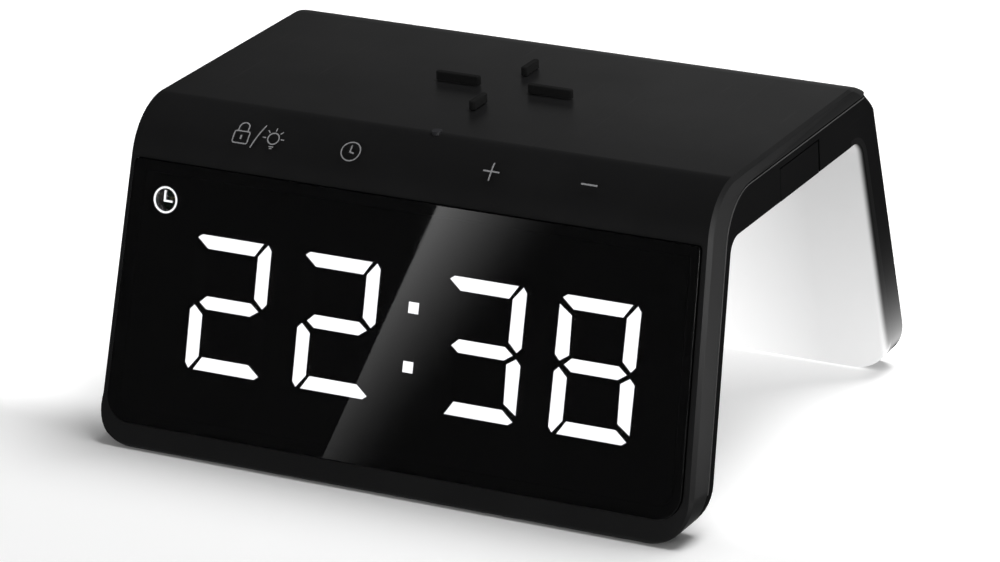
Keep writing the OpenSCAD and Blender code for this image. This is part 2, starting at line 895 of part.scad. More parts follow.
module touch_pads() {
    color("goldenrod") place()
        for (share = touch_pad_shares)
            translate([share * base_w, 0, 0])
                bend_layer(pad_w, 0, pad_t);
}

module charge_indicator() {
    color("lightgray") place()
        translate([0, indicator_y, slab_ceiling - overrun])
            cylinder(r = indicator_r, h = top_wall + overrun);
}

module wide_grip_strips() {
    color([0.06, 0.06, 0.06]) place()
        wide_grips(-grip_seat, grip_h);
}

module deep_grip_strips() {
    color([0.06, 0.06, 0.06]) place()
        deep_grips(-grip_seat, grip_h);
}

module charging_coil() {
    color("peru") place()
        translate([0, charge_y, slab_ceiling - coil_t])
            difference() {
                cylinder(r = coil_r, h = coil_t);
                translate([0, 0, -overrun])
                    cylinder(r = coil_hole_r, h = coil_t + 2 * overrun);
            }
}

module coil_ferrite() {
    color([0.2, 0.2, 0.22]) place()
        translate([-ferrite_w / 2, charge_y - ferrite_w / 2, slab_ceiling - coil_t - ferrite_t])
            cube([ferrite_w, ferrite_w, ferrite_t]);
}

module main_board() {
    color("darkgreen") place() difference() {
        translate([main_board_x, main_board_y, main_board_z])
            cube([main_board_l, main_board_d, board_t]);
        at_main_screws(main_board_z - overrun)
            cylinder(r = board_screw_r + pass_gap, h = board_t + 2 * overrun);
    }
}

// A place on the main board, given as shares of its length and depth
module on_main_board(share) {
    translate([main_board_x + share[0] * main_board_l, main_board_y + share[1] * main_board_d,
        main_board_top])
        children();
}

module main_board_chips() {
    color([0.1, 0.1, 0.1]) place()
        for (i = [0:len(chip_place_shares) - 1])
            on_main_board(chip_place_shares[i])
                cube([chip_size_shares[i][0] * main_board_l,
                    chip_size_shares[i][1] * main_board_d, chip_h]);
}

module main_board_capacitors() {
    color("silver") place()
        for (share = capacitor_place_shares)
            on_main_board(share)
                cylinder(r = capacitor_r, h = capacitor_h);
}

module power_inlet() {
    floor_y = inlet_face_y - inlet_bore_l;
    color([0.15, 0.15, 0.15]) place() {
        difference() {
            union() {
                translate([-inlet_w / 2, inlet_body_end - inlet_l, slab_floor])
                    cube([inlet_w, inlet_l, inlet_h]);
                translate([0, inlet_body_end - overrun, inlet_z])
                    rotate([-90, 0, 0])
                        cylinder(r = collar_r, h = inlet_face_y - inlet_body_end + overrun);
            }
            translate([0, floor_y, inlet_z])
                rotate([-90, 0, 0])
                    cylinder(r = inlet_bore_r, h = inlet_bore_l + overrun);
        }
        translate([0, floor_y - overrun, inlet_z])
            rotate([-90, 0, 0])
                cylinder(r = inlet_pin_r, h = inlet_bore_l);
    }
}

// One hole in the middle and a ring of holes under the sounder
module at_sound_holes() {
    translate([sounder_x, charge_y, slab_under - overrun]) {
        children();
        for (i = [0:sound_hole_count - 1])
            rotate([0, 0, i * 360 / sound_hole_count])
                translate([sound_ring_r, 0, 0])
                    children();
    }
}

module alarm_sounder() {
    color([0.1, 0.1, 0.1]) place()
        translate([sounder_x, charge_y, slab_floor])
            difference() {
                cylinder(r = sounder_r, h = sounder_h);
                translate([0, 0, -overrun])
                    cylinder(r = sound_hole_r, h = overrun + sounder_h / 2);
            }
}

module night_light_panel() {
    color([0.95, 0.95, 0.93]) place() difference() {
        outer_form();
        arch_space(0);
        along_x(base_w + 2 * overrun)
            difference() {
                translate([-body_d, -2 * overrun])
                    square([3 * body_d, 2 * body_h]);
                panel_section(0);
            }
    }
}

module night_light_board() {
    v = light_board_z / cos(rear_lean);
    color("white") place()
        on_rear(rear_wall, rear_wall + board_t)
            translate([-light_board_l / 2, v - light_board_w / 2])
                square([light_board_l, light_board_w]);
}

module night_light_lamps() {
    v = light_board_z / cos(rear_lean);
    step = light_board_l / lamp_count;
    color("yellow") place()
        on_rear(rear_wall + board_t, rear_wall + board_t + lamp_h)
            for (i = [0:lamp_count - 1])
                translate([(i + 0.5) * step - light_board_l / 2, v])
                    square(lamp_w, center = true);
}

module battery_drawer() {
    color([0.1, 0.1, 0.11]) place() difference() {
        union() {
            intersection() {
                translate([drawer_front_x(), drawer_y - drawer_w / 2, slab_under])
                    cube([drawer_front_t + base_w, drawer_w, drawer_h]);
                along_y()
                    front_outline(0, foot_corner_r, 0);
            }
            translate([drawer_back, drawer_y - tray_w / 2, tray_z])
                cube([drawer_front_x() + drawer_front_t / 2 - drawer_back, tray_w,
                    tray_top - tray_z]);
        }
        translate([cell_x, drawer_y, cell_z])
            cylinder(r = cell_r + drawer_gap / 2, h = cell_t + overrun);
        translate([drawer_front_x(), drawer_y - nail_slot_l / 2, slab_under - overrun])
            cube([drawer_front_t / 2, nail_slot_l, nail_slot_h + overrun]);
    }
}

cell_x = drawer_back + tray_wall + cell_r + drawer_gap / 2;

module coin_cell() {
    color("silver") place()
        translate([cell_x, drawer_y, cell_z])
            cylinder(r = cell_r, h = cell_t);
}

// A leaf that bows down over the cell and a leaf that stands at the bay's back
module cell_contacts() {
    ceiling = drawer_top + drawer_gap;
    drop = ceiling - tray_top - drawer_gap;
    color("gold") place() {
        translate([0, drawer_y + contact_w / 2, 0])
            rotate([90, 0, 0])
                linear_extrude(contact_w)
                    polygon([
                        [cell_x - cell_r / 2, ceiling],
                        [cell_x - cell_r / 2, ceiling - contact_t],
                        [cell_x, ceiling - drop],
                        [cell_x + contact_w / 2, ceiling - drop],
                        [cell_x + contact_w / 2, ceiling - drop + contact_t],
                        [cell_x, ceiling - drop + contact_t],
                        [cell_x - cell_r / 2 + contact_t, ceiling]]);
        translate([bay_back, drawer_y - contact_w * 2, slab_floor])
            cube([contact_t / 2, contact_w, tray_top - slab_floor]);
    }
}

module front_feet() {
    color([0.08, 0.08, 0.08]) place()
        at_feet(front_foot_y)
            foot_block(-foot_proud);
}

module rear_feet() {
    color([0.08, 0.08, 0.08]) place()
        at_feet(rear_foot_y)
            foot_block(-foot_proud);
}

module cover_screws() {
    color("silver") place() {
        on_face(seam_front - screw_bite, front_leg_t - screw_head_h)
            at_cover_screws()
                circle(screw_r);
        on_face(front_leg_t - screw_head_h, front_leg_t)
            at_cover_screws()
                circle(screw_head_r);
    }
}

module slab_screws() {
    color("silver") place() at_slab_screws(slab_under) {
        cylinder(r = screw_head_r, h = screw_head_h);
        cylinder(r = screw_r, h = slab_t - seam_top + screw_bite - pass_gap);
    }
}

module board_screws() {
    color("silver") place() {
        on_face(board_front - board_bite, board_front + board_t)
            at_display_screws()
                circle(board_screw_r);
        on_face(board_front + board_t, board_front + board_t + board_head_h)
            at_display_screws()
                circle(board_head_r);
        at_main_screws(main_board_top)
            cylinder(r = board_head_r, h = board_head_h);
        at_main_screws(main_board_top - board_t - board_bite)
            cylinder(r = board_screw_r, h = board_bite + board_t);
    }
}

upper_shell();
lower_shell();
display_lens();
lens_tape();
segment_housing();
lit_segments();
unlit_segments();
display_board();
display_leds();
touch_film();
touch_pads();
charge_indicator();
wide_grip_strips();
deep_grip_strips();
charging_coil();
coil_ferrite();
main_board();
main_board_chips();
main_board_capacitors();
power_inlet();
alarm_sounder();
night_light_panel();
night_light_board();
night_light_lamps();
battery_drawer();
coin_cell();
cell_contacts();
front_feet();
rear_feet();
cover_screws();
slab_screws();
board_screws();
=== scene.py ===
"""A digital alarm clock in one arch: the finished pieces, their materials and the studio."""

import math

import bmesh
import bpy
from mathutils import Matrix, Vector


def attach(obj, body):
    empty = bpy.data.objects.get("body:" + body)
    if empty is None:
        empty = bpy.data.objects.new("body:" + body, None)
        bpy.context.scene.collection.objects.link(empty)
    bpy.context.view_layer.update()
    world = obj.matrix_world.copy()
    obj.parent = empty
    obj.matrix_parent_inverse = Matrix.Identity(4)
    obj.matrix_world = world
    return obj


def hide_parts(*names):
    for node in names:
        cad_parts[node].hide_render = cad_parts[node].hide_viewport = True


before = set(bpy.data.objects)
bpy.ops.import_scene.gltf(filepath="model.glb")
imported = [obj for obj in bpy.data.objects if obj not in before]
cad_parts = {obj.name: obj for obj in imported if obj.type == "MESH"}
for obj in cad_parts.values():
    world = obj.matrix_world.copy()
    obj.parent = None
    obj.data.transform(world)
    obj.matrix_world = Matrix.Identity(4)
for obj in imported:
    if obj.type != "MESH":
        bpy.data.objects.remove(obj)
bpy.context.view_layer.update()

# Sizes in millimetres, with the front foot edge at y = 0 and the soles at z = 0
BASE_W, BODY_H, BODY_D = 173.0, 86.7, 138.5
FRONT_LEAN, REAR_LEAN, DRAFT = (math.radians(a) for a in (14.8, 13.7, 2.0))
FRONT_BEND_R, REAR_BEND_R = 17.0, 12.0
FRONT_LEG, SLAB, REAR_LEG = 11.0, 15.2, 9.6
UNDER_FRONT_R, UNDER_REAR_R, HOLLOW_FRONT_R = 5.0, 6.0, 14.4
EDGE_R, FOOT_CORNER_R, FACET = 2.6, 12.0, 2.4
SEAM_FRONT, SEAM_TOP, SEAM_R, SEAM_GAP, SEAM_BEVEL = 7.4, 3.85, 16.0, 0.45, 0.22
SIDE_WALL, TOP_WALL, UNDER_WALL, BACK_WALL, REAR_WALL = 2.2, 2.0, 1.8, 1.6, 2.0
SOLE, FOOT_PROUD, FOOT_SUNK, FOOT_L, FOOT_W, FOOT_X = 6.0, 0.5, 1.0, 16.0, 5.0, 58.0
LENS_LOW, LENS_TOP_GAP, LENS_MARGIN, LENS_T, LENS_GAP = 6.4, 1.2, 3.6, 2.0, 0.15
LENS_LOW_R, LENS_HIGH_R, LEDGE, LEDGE_BACK = 7.0, 1.2, 3.0, 3.6
PANEL_T, PANEL_LIP, INDICATOR_R = 2.2, 2.0, 1.3
GRIP_W, GRIP_H, GRIP_SUNK, CHARGE_SHIFT, DRAWER_SHIFT = 1.8, 1.8, 0.5, 1.7, 1.3
DRAWER_W, DRAWER_H, DRAWER_L, DRAWER_FRONT, DRAWER_GAP = 24.0, 8.6, 26.0, 2.0, 0.35
TRAY_WALL, BAY_WALL, BAY_REACH, CELL_R, CELL_T = 1.0, 1.2, 13.55, 10.0, 3.2
INLET_RISE, INLET_R, INLET_BORE, SOUNDER_IN = 4.2, 4.0, 2.8, 30.3
SCREW_R, HEAD_R, HEAD_H, BOSS_R, BITE = 1.2, 2.2, 1.2, 2.6, 2.8
BOARD_SCREW_R, BOARD_BOSS_R, BOARD_BITE, BOARD_FRONT, POST = 0.9, 1.6, 2.4, 6.8, 2.5
PASS, PILOT, RUN, FLOOR_BITE, LEDGE_BITE = 0.2, 0.02, 1.0, 0.9, 0.7
SLAB_UNDER = BODY_H - SLAB
SLAB_FLOOR = SLAB_UNDER + UNDER_WALL
TOUCH, SHARP, CREASE = 0.01, math.radians(40), math.radians(32)

PLACE = Matrix.Scale(0.001, 4) @ Matrix.Translation((0, -BODY_D / 2, FOOT_PROUD))
FRONT_OUT = Vector((0, -math.cos(FRONT_LEAN), math.sin(FRONT_LEAN)))
REAR_OUT = Vector((0, math.cos(REAR_LEAN), math.sin(REAR_LEAN)))
ON_FACE = Matrix.Rotation(-FRONT_LEAN, 4, "X")
TO_BACK = Matrix.Rotation(-math.pi / 2, 4, "X")
TO_FLOOR = Matrix.Rotation(math.pi, 4, "X")


def front_y(z, depth=0.0):
    return z * math.tan(FRONT_LEAN) + depth / math.cos(FRONT_LEAN)


def rear_y(z, depth=0.0):
    return BODY_D - z * math.tan(REAR_LEAN) - depth / math.cos(REAR_LEAN)


def half_w(z):
    return BASE_W / 2 - z * math.tan(DRAFT)


def face_half_w(v):
    return half_w(v * math.cos(FRONT_LEAN))


def at(x, y, z):
    return Matrix.Translation((x, y, z))


class Arch:
    """A leaning front, a level top and a leaning rear, with a round bend at each corner"""

    def __init__(self, front, top, rear, front_r, rear_r):
        self.front, self.rear, self.top = front, rear, BODY_H - top
        low = self.top - front_r
        self.front_turn = Vector((0, front_y(low, front + front_r), low))
        low = self.top - rear_r
        self.rear_turn = Vector((0, rear_y(low, rear + rear_r), low))
        self.front_start = self.front_turn + front_r * FRONT_OUT
        self.rear_end = self.rear_turn + rear_r * REAR_OUT
        self.bends = ((self.front_turn, front_r, math.pi / 2, math.pi - FRONT_LEAN),
                      (self.rear_turn, rear_r, REAR_LEAN, math.pi / 2))

    def below(self, point):
        """How far a point lies below the surface, and the way from there into the form"""
        for turn, r, start, end in self.bends:
            y, z = point.y - turn.y, point.z - turn.z
            if start <= math.atan2(z, y) <= end:
                return r - math.hypot(y, z), Vector((0, -y, -z)).normalized()
        return min(
            ((point.y - front_y(point.z, self.front)) * math.cos(FRONT_LEAN), -FRONT_OUT),
            (self.top - point.z, Vector((0, 0, -1))),
            ((rear_y(point.z, self.rear) - point.y) * math.cos(REAR_LEAN), -REAR_OUT),
            key=lambda flat: flat[0])

    def depth(self, point):
        return self.below(point)[0]

    def holds(self, item):
        """Whether all corners of an edge or face lie on the surface"""
        return all(abs(self.depth(v.co)) < TOUCH for v in item.verts)


SKIN = Arch(0, 0, 0, FRONT_BEND_R, REAR_BEND_R)
OUTER_SEAM = Arch(SEAM_FRONT, SEAM_TOP, -REAR_BEND_R, SEAM_R, REAR_BEND_R)
INNER_SEAM = Arch(SEAM_FRONT + SEAM_GAP, SEAM_TOP + SEAM_GAP, -REAR_BEND_R, SEAM_R - SEAM_GAP,
                  REAR_BEND_R)
UNDERSIDE = Arch(FRONT_LEG, SLAB, REAR_LEG, UNDER_FRONT_R, UNDER_REAR_R)
INNER_WALL = Arch(FRONT_LEG - BACK_WALL, SLAB - UNDER_WALL, REAR_LEG - PANEL_T,
                  UNDER_FRONT_R + BACK_WALL, UNDER_REAR_R + PANEL_T)
HOLLOW = Arch(LEDGE_BACK, TOP_WALL, REAR_WALL, HOLLOW_FRONT_R, REAR_BEND_R - REAR_WALL)
PANEL_START = UNDERSIDE.rear_turn.y - PANEL_LIP
LENS_HIGH = SKIN.front_start.z / math.cos(FRONT_LEAN) - LENS_TOP_GAP
SLAB_MIDDLE = (front_y(SLAB_UNDER, FRONT_LEG) + rear_y(SLAB_UNDER, REAR_LEG)) / 2
CHARGE_Y, DRAWER_Y = SLAB_MIDDLE + CHARGE_SHIFT, SLAB_MIDDLE + DRAWER_SHIFT
DRAWER_TOP = SLAB_UNDER + DRAWER_H
DRAWER_X = half_w(DRAWER_TOP) - DRAWER_FRONT
DRAWER_BACK = half_w(SLAB_UNDER) - DRAWER_L
TRAY_Z = SLAB_FLOOR + DRAWER_GAP
TRAY_TOP = TRAY_Z + TRAY_WALL + CELL_T
TRAY_W = 2 * (CELL_R + DRAWER_GAP + TRAY_WALL)
CELL = (DRAWER_BACK + TRAY_WALL + CELL_R + DRAWER_GAP / 2, DRAWER_Y, TRAY_Z + TRAY_WALL)
INLET_Y, INLET_Z = SKIN.rear_turn.y + 0.2 * REAR_BEND_R, SLAB_FLOOR + INLET_RISE
INLET_MOUTH = SKIN.rear_turn.y + 0.8 * REAR_BEND_R
SOUNDER_X = SIDE_WALL + SOUNDER_IN - half_w(SLAB_UNDER)
FRONT_TURN, REAR_TURN = math.pi / 2 - FRONT_LEAN, math.pi / 2 - REAR_LEAN


# Shapes


def corners_in(made, key="geom"):
    """The corners among what an operator made"""
    return [v for v in made[key] if isinstance(v, bmesh.types.BMVert)]


def arch_form(*path, inset=0.0):
    """A closed outline at x = 0 along points (y, z) and bends (centre, turn, steps), drawn out
    to the two drafted ends of the clock"""
    bm = bmesh.new()
    first = last = None
    for step in path:
        if len(step) == 3:
            centre, turn, steps = step
            made = bmesh.ops.spin(bm, geom=[last], cent=(0, centre.y, centre.z),
                                  axis=(1, 0, 0), angle=turn, steps=steps)
            last = corners_in(made, "geom_last")[0]
            continue
        point = bm.verts.new((0, *step))
        if first is None:
            first = point
        else:
            bm.edges.new((last, point))
        last = point
    bm.edges.new((last, first))
    bmesh.ops.contextual_create(bm, geom=bm.edges[:])
    right = set(corners_in(bmesh.ops.extrude_face_region(bm, geom=bm.faces[:])))
    for v in bm.verts:
        reach = half_w(v.co.z) - inset / math.cos(DRAFT)
        v.co.x = reach if v in right else -reach
    bmesh.ops.recalc_face_normals(bm, faces=bm.faces)
    return bm


def soften(bm, edges, width, segments=3):
    bmesh.ops.bevel(bm, geom=edges, offset=width, offset_type="OFFSET", segments=segments,
                    profile=0.5, affect="EDGES", clamp_overlap=True, material=-1)


def round_corners(bm, r, segments, corners=None):
    """Rounds the corners of a flat shape"""
    bmesh.ops.bevel(bm, geom=corners or bm.verts[:], offset=r, segments=segments, profile=0.5,
                    affect="VERTICES", material=-1)


def round_foot_corners(bm):
    """Rounds the lower corners of the legs, as seen from the front"""
    corners = [e for e in bm.edges if all(abs(v.co.z) < TOUCH for v in e.verts)
               and abs(e.verts[0].co.x - e.verts[1].co.x) < TOUCH]
    soften(bm, corners, FOOT_CORNER_R / math.tan(math.pi / 4 - DRAFT / 2), 12)


def slice_at(bm, point, normal, clear_outer=False):
    """Cuts every face along a plane"""
    bmesh.ops.bisect_plane(bm, geom=bm.verts[:] + bm.edges[:] + bm.faces[:], plane_co=point,
                           plane_no=normal, clear_outer=clear_outer)


def within(value):
    """A value held between 0 and 1"""
    return min(max(value, 0), 1)


def border(bm, surface, *others):
    """Edges where a surface ends, but for those that it shares with the others"""
    return [e for e in bm.edges if len(e.link_faces) == 2
            and surface.holds(e.link_faces[0]) != surface.holds(e.link_faces[1])
            and not any(other.holds(e) for other in others)]


def end_gap(point):
    """How far a point lies inside the end's outline as seen from the front, and the way out"""
    side = math.copysign(1, point.x)
    turn_x = half_w(FOOT_CORNER_R) - FOOT_CORNER_R / math.cos(DRAFT)
    x, z = abs(point.x) - turn_x, point.z - FOOT_CORNER_R
    if z >= 0:
        gap = (half_w(point.z) - abs(point.x)) * math.cos(DRAFT)
        return gap, Vector((side * math.cos(DRAFT), 0, math.sin(DRAFT)))
    if x <= 0:
        return point.z, Vector((0, 0, -1))
    return FOOT_CORNER_R - math.hypot(x, z), Vector((side * x, 0, z)).normalized()


def reshape_rim(bm, target):
    """Gives the rounding between the skin and the ends another profile: target takes a corner's
    place, its depth, its gap to the end and its share of the turn, and returns the last two"""
    for v in bm.verts:
        (depth, inward), (gap, out) = SKIN.below(v.co), end_gap(v.co)
        if depth > EDGE_R + TOUCH or gap > EDGE_R + TOUCH:
            continue
        share = math.atan2(EDGE_R - gap, EDGE_R - depth) / (math.pi / 2)
        new_depth, new_gap = target(v.co - depth * inward, inward, depth, gap, share)
        v.co += (new_depth - depth) * inward + (gap - new_gap) * out


def facet_profile(skin_point, inward, depth, gap, share):
    """A flat facet from the skin down to the seam, which turns round towards the rear tip"""
    start, taper = 0.35, 2.9
    near, far = 0.0, 9.0
    for _ in range(24):
        middle = (near + far) / 2
        if OUTER_SEAM.depth(skin_point + middle * inward) < 0:
            near = middle
        else:
            far = middle
    reach = max(near - start, 0.3)
    weight = within((near - 0.6) / taper) if skin_point.y > SKIN.rear_turn.y else 1
    weight *= within((skin_point.z - 3.0) / (FOOT_CORNER_R - 3.0))
    if share < 0.08:
        goal = (0.0, FACET + 0.5)
    elif share < 0.25:
        goal = (0.07, FACET + 0.16)
    else:
        along = max((share - 1 / 3) / (2 / 3), 0)
        goal = (start + (reach - start) * along, (FACET - 0.1) * (1 - along))
    return depth + (goal[0] - depth) * weight, gap + (goal[1] - gap) * weight


def tight_profile(skin_point, inward, depth, gap, share):
    """A rounding that grows tight below the seam's rear tip"""
    turn = REAR_BEND_R * math.sin(REAR_LEAN)
    rise = (skin_point.z - SKIN.rear_turn.z - turn) / (
        INNER_SEAM.top - SKIN.rear_turn.z - turn)
    size = 0.14 + 0.86 * within(rise)
    return depth * size, gap * size


def trim_rear_corners(bm):
    """Rounds the two rear ends of the top a little inwards"""
    for level in (68.8, 69.6, 70.4):
        slice_at(bm, (0, SKIN.rear_turn.y, level / 0.8), (0, 0.6, 0.8))
        for v in bm.verts:
            beyond = 0.6 * (v.co.y - SKIN.rear_turn.y) + 0.8 * v.co.z - level
            near_end = within((abs(v.co.x) - half_w(v.co.z) + 10) / 6)
            if beyond > 0 and near_end > 0:
                v.co.x -= math.copysign(0.22 * beyond * near_end, v.co.x)


def sharp_edges(bm, where=lambda point: True):
    """Sharp edges whose corners all meet a test"""
    return [e for e in bm.edges if len(e.link_faces) == 2 and e.calc_face_angle() > SHARP
            and all(where(v.co) for v in e.verts)]


def is_upright(edge):
    return abs(edge.verts[0].co.z - edge.verts[1].co.z) > TOUCH


def sheet(width, height):
    """A flat sheet in the plane of x and y"""
    bm = bmesh.new()
    bmesh.ops.create_grid(bm, x_segments=1, y_segments=1, size=0.5)
    bmesh.ops.scale(bm, vec=(width, height, 1), verts=bm.verts)
    return bm


def block(low, high):
    """A box between two corners"""
    bm = bmesh.new()
    low, high = Vector(low), Vector(high)
    bmesh.ops.create_cube(bm, size=1)
    bmesh.ops.scale(bm, vec=high - low, verts=bm.verts)
    bmesh.ops.translate(bm, vec=(low + high) / 2, verts=bm.verts)
    return bm


def rod(r, low, high, segments=48):
    """A round rod along z"""
    bm = bmesh.new()
    bmesh.ops.create_cone(bm, cap_ends=True, segments=segments, radius1=r, radius2=r,
                          depth=high - low, matrix=at(0, 0, (low + high) / 2))
    return bm


def long_pad(length, width, low, high):
    """A low block along x with round ends"""
    bm = block((-length / 2, -width / 2, low), (length / 2, width / 2, high))
    soften(bm, [e for e in bm.edges if is_upright(e)], 0.49 * width, 8)
    return bm


def as_mesh(name, bm):
    mesh = bpy.data.meshes.new(name)
    bm.to_mesh(mesh)
    bm.free()
    return mesh


def add_object(name, data):
    """Puts an object into the scene"""
    made = bpy.data.objects.new(name, data)
    bpy.context.scene.collection.objects.link(made)
    return made


def join(*shapes):
    """Gathers shapes into the first one"""
    first = shapes[0]
    for other in shapes[1:]:
        mesh = as_mesh("joined", other)
        first.from_mesh(mesh)
        bpy.data.meshes.remove(mesh)
    return first


def placed(bm, matrix):
    bmesh.ops.transform(bm, matrix=matrix, verts=bm.verts)
    return bm


def copies(make, *matrices):
    """The same shape at several places"""
    return join(*[placed(make(), matrix) for matrix in matrices])


def turned(points, steps=64):
    """A shape turned about z from half its outline, given as radii and heights"""
    bm = bmesh.new()
    corners = [bm.verts.new((r, 0, z)) for r, z in points]
    lines = [bm.edges.new(pair) for pair in zip(corners, corners[1:])]
    bmesh.ops.spin(bm, geom=corners + lines, cent=(0, 0, 0), axis=(0, 0, 1),
                   angle=2 * math.pi, steps=steps, use_merge=True)
    bmesh.ops.remove_doubles(bm, verts=bm.verts, dist=1e-5)
    bmesh.ops.recalc_face_normals(bm, faces=bm.faces)
    return bm


def rods(r, low, high, *matrices):
    return copies(lambda: rod(r, low, high), *matrices)


def fuse(bm, *others):
    return combine(bm, others, "UNION")


def carve(bm, *cutters):
    return combine(bm, cutters, "DIFFERENCE")


def combine(bm, others, operation):
    """Adds other shapes to a shape, or takes them out of it"""
    made = [add_object("carving", as_mesh("carving", shape)) for shape in (bm, *others)]
    for other in made[1:]:
        step = made[0].modifiers.new("Carve", "BOOLEAN")
        step.operation, step.solver, step.object = operation, "EXACT", other
    carved = bmesh.new()
    carved.from_object(made[0], bpy.context.evaluated_depsgraph_get())
    for thing in made:
        mesh = thing.data
        bpy.data.objects.remove(thing)
        bpy.data.meshes.remove(mesh)
    return carved


def piece(name, bm, material, replaces=(), body="housing"):
    """Turns a shape in millimetres into a finished piece that rides on its body"""
    bmesh.ops.remove_doubles(bm, verts=bm.verts, dist=1e-4)
    bmesh.ops.recalc_face_normals(bm, faces=bm.faces)
    mesh = as_mesh(name, placed(bm, PLACE))
    mesh.shade_smooth()
    mesh.set_sharp_from_angle(angle=CREASE)
    mesh.materials.append(material)
    made = add_object(name, mesh)
    weigh = made.modifiers.new("Weighted normals", "WEIGHTED_NORMAL")
    weigh.keep_sharp = True
    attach(made, body)
    if replaces:
        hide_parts(*replaces)
    return made


# Materials


class Wiring:
    """Adds nodes to a node tree and joins their sockets"""

    def __init__(self, tree):
        self.tree = tree

    def node(self, kind, **settings):
        made = self.tree.nodes.new("ShaderNode" + kind)
        for key, value in settings.items():
            setattr(made, key, value)
        return made

    def link(self, source, target):
        self.tree.links.new(source, target)

    def feed(self, socket, value):
        if isinstance(value, bpy.types.NodeSocket):
            self.link(value, socket)
        else:
            socket.default_value = value

    def math(self, operation, *values):
        made = self.node("Math", operation=operation)
        for socket, value in zip(made.inputs, values):
            self.feed(socket, value)
        return made.outputs[0]

    def span(self, value, low, high, start=0.0, end=1.0, smooth=False):
        """Maps a value from one span to another"""
        made = self.node("MapRange")
        made.interpolation_type = "SMOOTHSTEP" if smooth else "LINEAR"
        for name, given in (("Value", value), ("From Min", low), ("From Max", high),
                            ("To Min", start), ("To Max", end)):
            self.feed(made.inputs[name], given)
        return made.outputs[0]

    def noise(self, coordinates, scale, detail=2.0, roughness=0.5):
        made = self.node("TexNoise")
        self.link(coordinates, made.inputs["Vector"])
        for name, given in (("Scale", scale), ("Detail", detail), ("Roughness", roughness)):
            self.feed(made.inputs[name], given)
        return made.outputs["Fac"]

    def blend(self, share, first, second):
        """A colour mixed from two"""
        made = self.node("Mix", data_type="RGBA")
        self.feed(made.inputs["Factor"], share)
        self.feed(made.inputs[6], first)
        self.feed(made.inputs[7], second)
        return made.outputs[2]

    def here(self):
        return self.node("TexCoord").outputs["Object"]

    def axes(self):
        made = self.node("SeparateXYZ")
        self.link(self.here(), made.inputs[0])
        return made.outputs

    def times(self, first, second):
        return self.math("MULTIPLY", first, second)

    def plus(self, first, second):
        return self.math("ADD", first, second)

    def minus(self, first, second):
        return self.math("SUBTRACT", first, second)

    def group(self, tree, **values):
        made = self.node("Group", node_tree=tree)
        for name, given in values.items():
            self.feed(made.inputs[name.replace("_", " ")], given)
        return made.outputs


def new_group(name, inputs, outputs):
    tree = bpy.data.node_groups.new(name, "ShaderNodeTree")
    for label, value in inputs.items():
        made = tree.interface.new_socket(label, in_out="INPUT", socket_type="NodeSocketFloat")
        made.default_value = value
    for label in outputs:
        tree.interface.new_socket(label, in_out="OUTPUT", socket_type="NodeSocketFloat")
    w = Wiring(tree)
    ends = [tree.nodes.new("NodeGroup" + end) for end in ("Input", "Output")]
    return tree, w, ends[0].outputs, ends[1].inputs


def moulded_grain():
    """Fine spark-eroded grain, with a soft waviness under it"""
    tree, w, given, out = new_group(
        "Moulded grain", {"Grain": 2600.0, "Rough": 0.5, "Spread": 0.06},
        ("Height", "Roughness"))
    here = w.here()
    fine = w.noise(here, given["Grain"], 3.0, 0.6)
    broad = w.noise(here, 38.0, 3.0, 0.5)
    w.link(w.plus(fine, w.times(broad, 0.35)), out["Height"])
    drift = w.minus(w.plus(fine, w.times(broad, 2.0)), 1.5)
    w.link(w.plus(given["Rough"], w.times(drift, given["Spread"])), out["Roughness"])
    return tree


def handling():
    """Soft patches and hair lines that fingers and cloths leave"""
    tree, w, given, out = new_group(
        "Handling", {"Patches": 30.0, "Lines": 900.0}, ("Smudge", "Scratch"))
    here = w.here()
    w.link(w.span(w.noise(here, given["Patches"], 5.0, 0.6), 0.42, 0.68, smooth=True),
           out["Smudge"])
    stretch = w.node("Mapping")
    stretch.inputs["Scale"].default_value = (1.0, 0.03, 1.0)
    stretch.inputs["Rotation"].default_value = (0.3, 0.2, 0.5)
    w.link(here, stretch.inputs["Vector"])
    hairs = w.noise(stretch.outputs["Vector"], given["Lines"], 2.0, 0.7)
    w.link(w.span(hairs, 0.66, 0.74, smooth=True), out["Scratch"])
    return tree


GRAIN, HANDLING = moulded_grain(), handling()


def finish(name, **values):
    """A material with its shader's plain values set, and the wiring to refine it"""
    made = bpy.data.materials.new(name)
    made.use_nodes = True
    shader = made.node_tree.nodes["Principled BSDF"]
    for key, value in values.items():
        shader.inputs[key.replace("_", " ")].default_value = value
    return made, Wiring(made.node_tree), shader.inputs


def bump(w, sockets, height, depth):
    """Lets a height in the material roughen its normal, to a depth in metres"""
    made = w.node("Bump")
    made.inputs["Strength"].default_value = 1.0
    made.inputs["Distance"].default_value = depth
    w.link(height, made.inputs["Height"])
    w.link(made.outputs["Normal"], sockets["Normal"])


def refine(w, sockets, dark, light, rough, grain=2600.0, depth=6e-6):
    """Lets the colour and gloss of a moulding drift a little over its surface"""
    grains = w.group(GRAIN, Grain=grain, Rough=rough, Spread=0.06)
    worn = w.group(HANDLING)
    w.link(w.blend(worn["Smudge"], (*dark, 1), (*light, 1)), sockets["Base Color"])
    w.link(w.minus(grains["Roughness"], w.times(worn["Scratch"], 0.05)), sockets["Roughness"])
    bump(w, sockets, grains["Height"], depth)


def plastic(name, dark, light, rough, specular=0.5, **moulding):
    made, w, sockets = finish(name, Specular_IOR_Level=specular)
    refine(w, sockets, dark, light, rough, **moulding)
    return made


def grey(value):
    return (value, value, value)


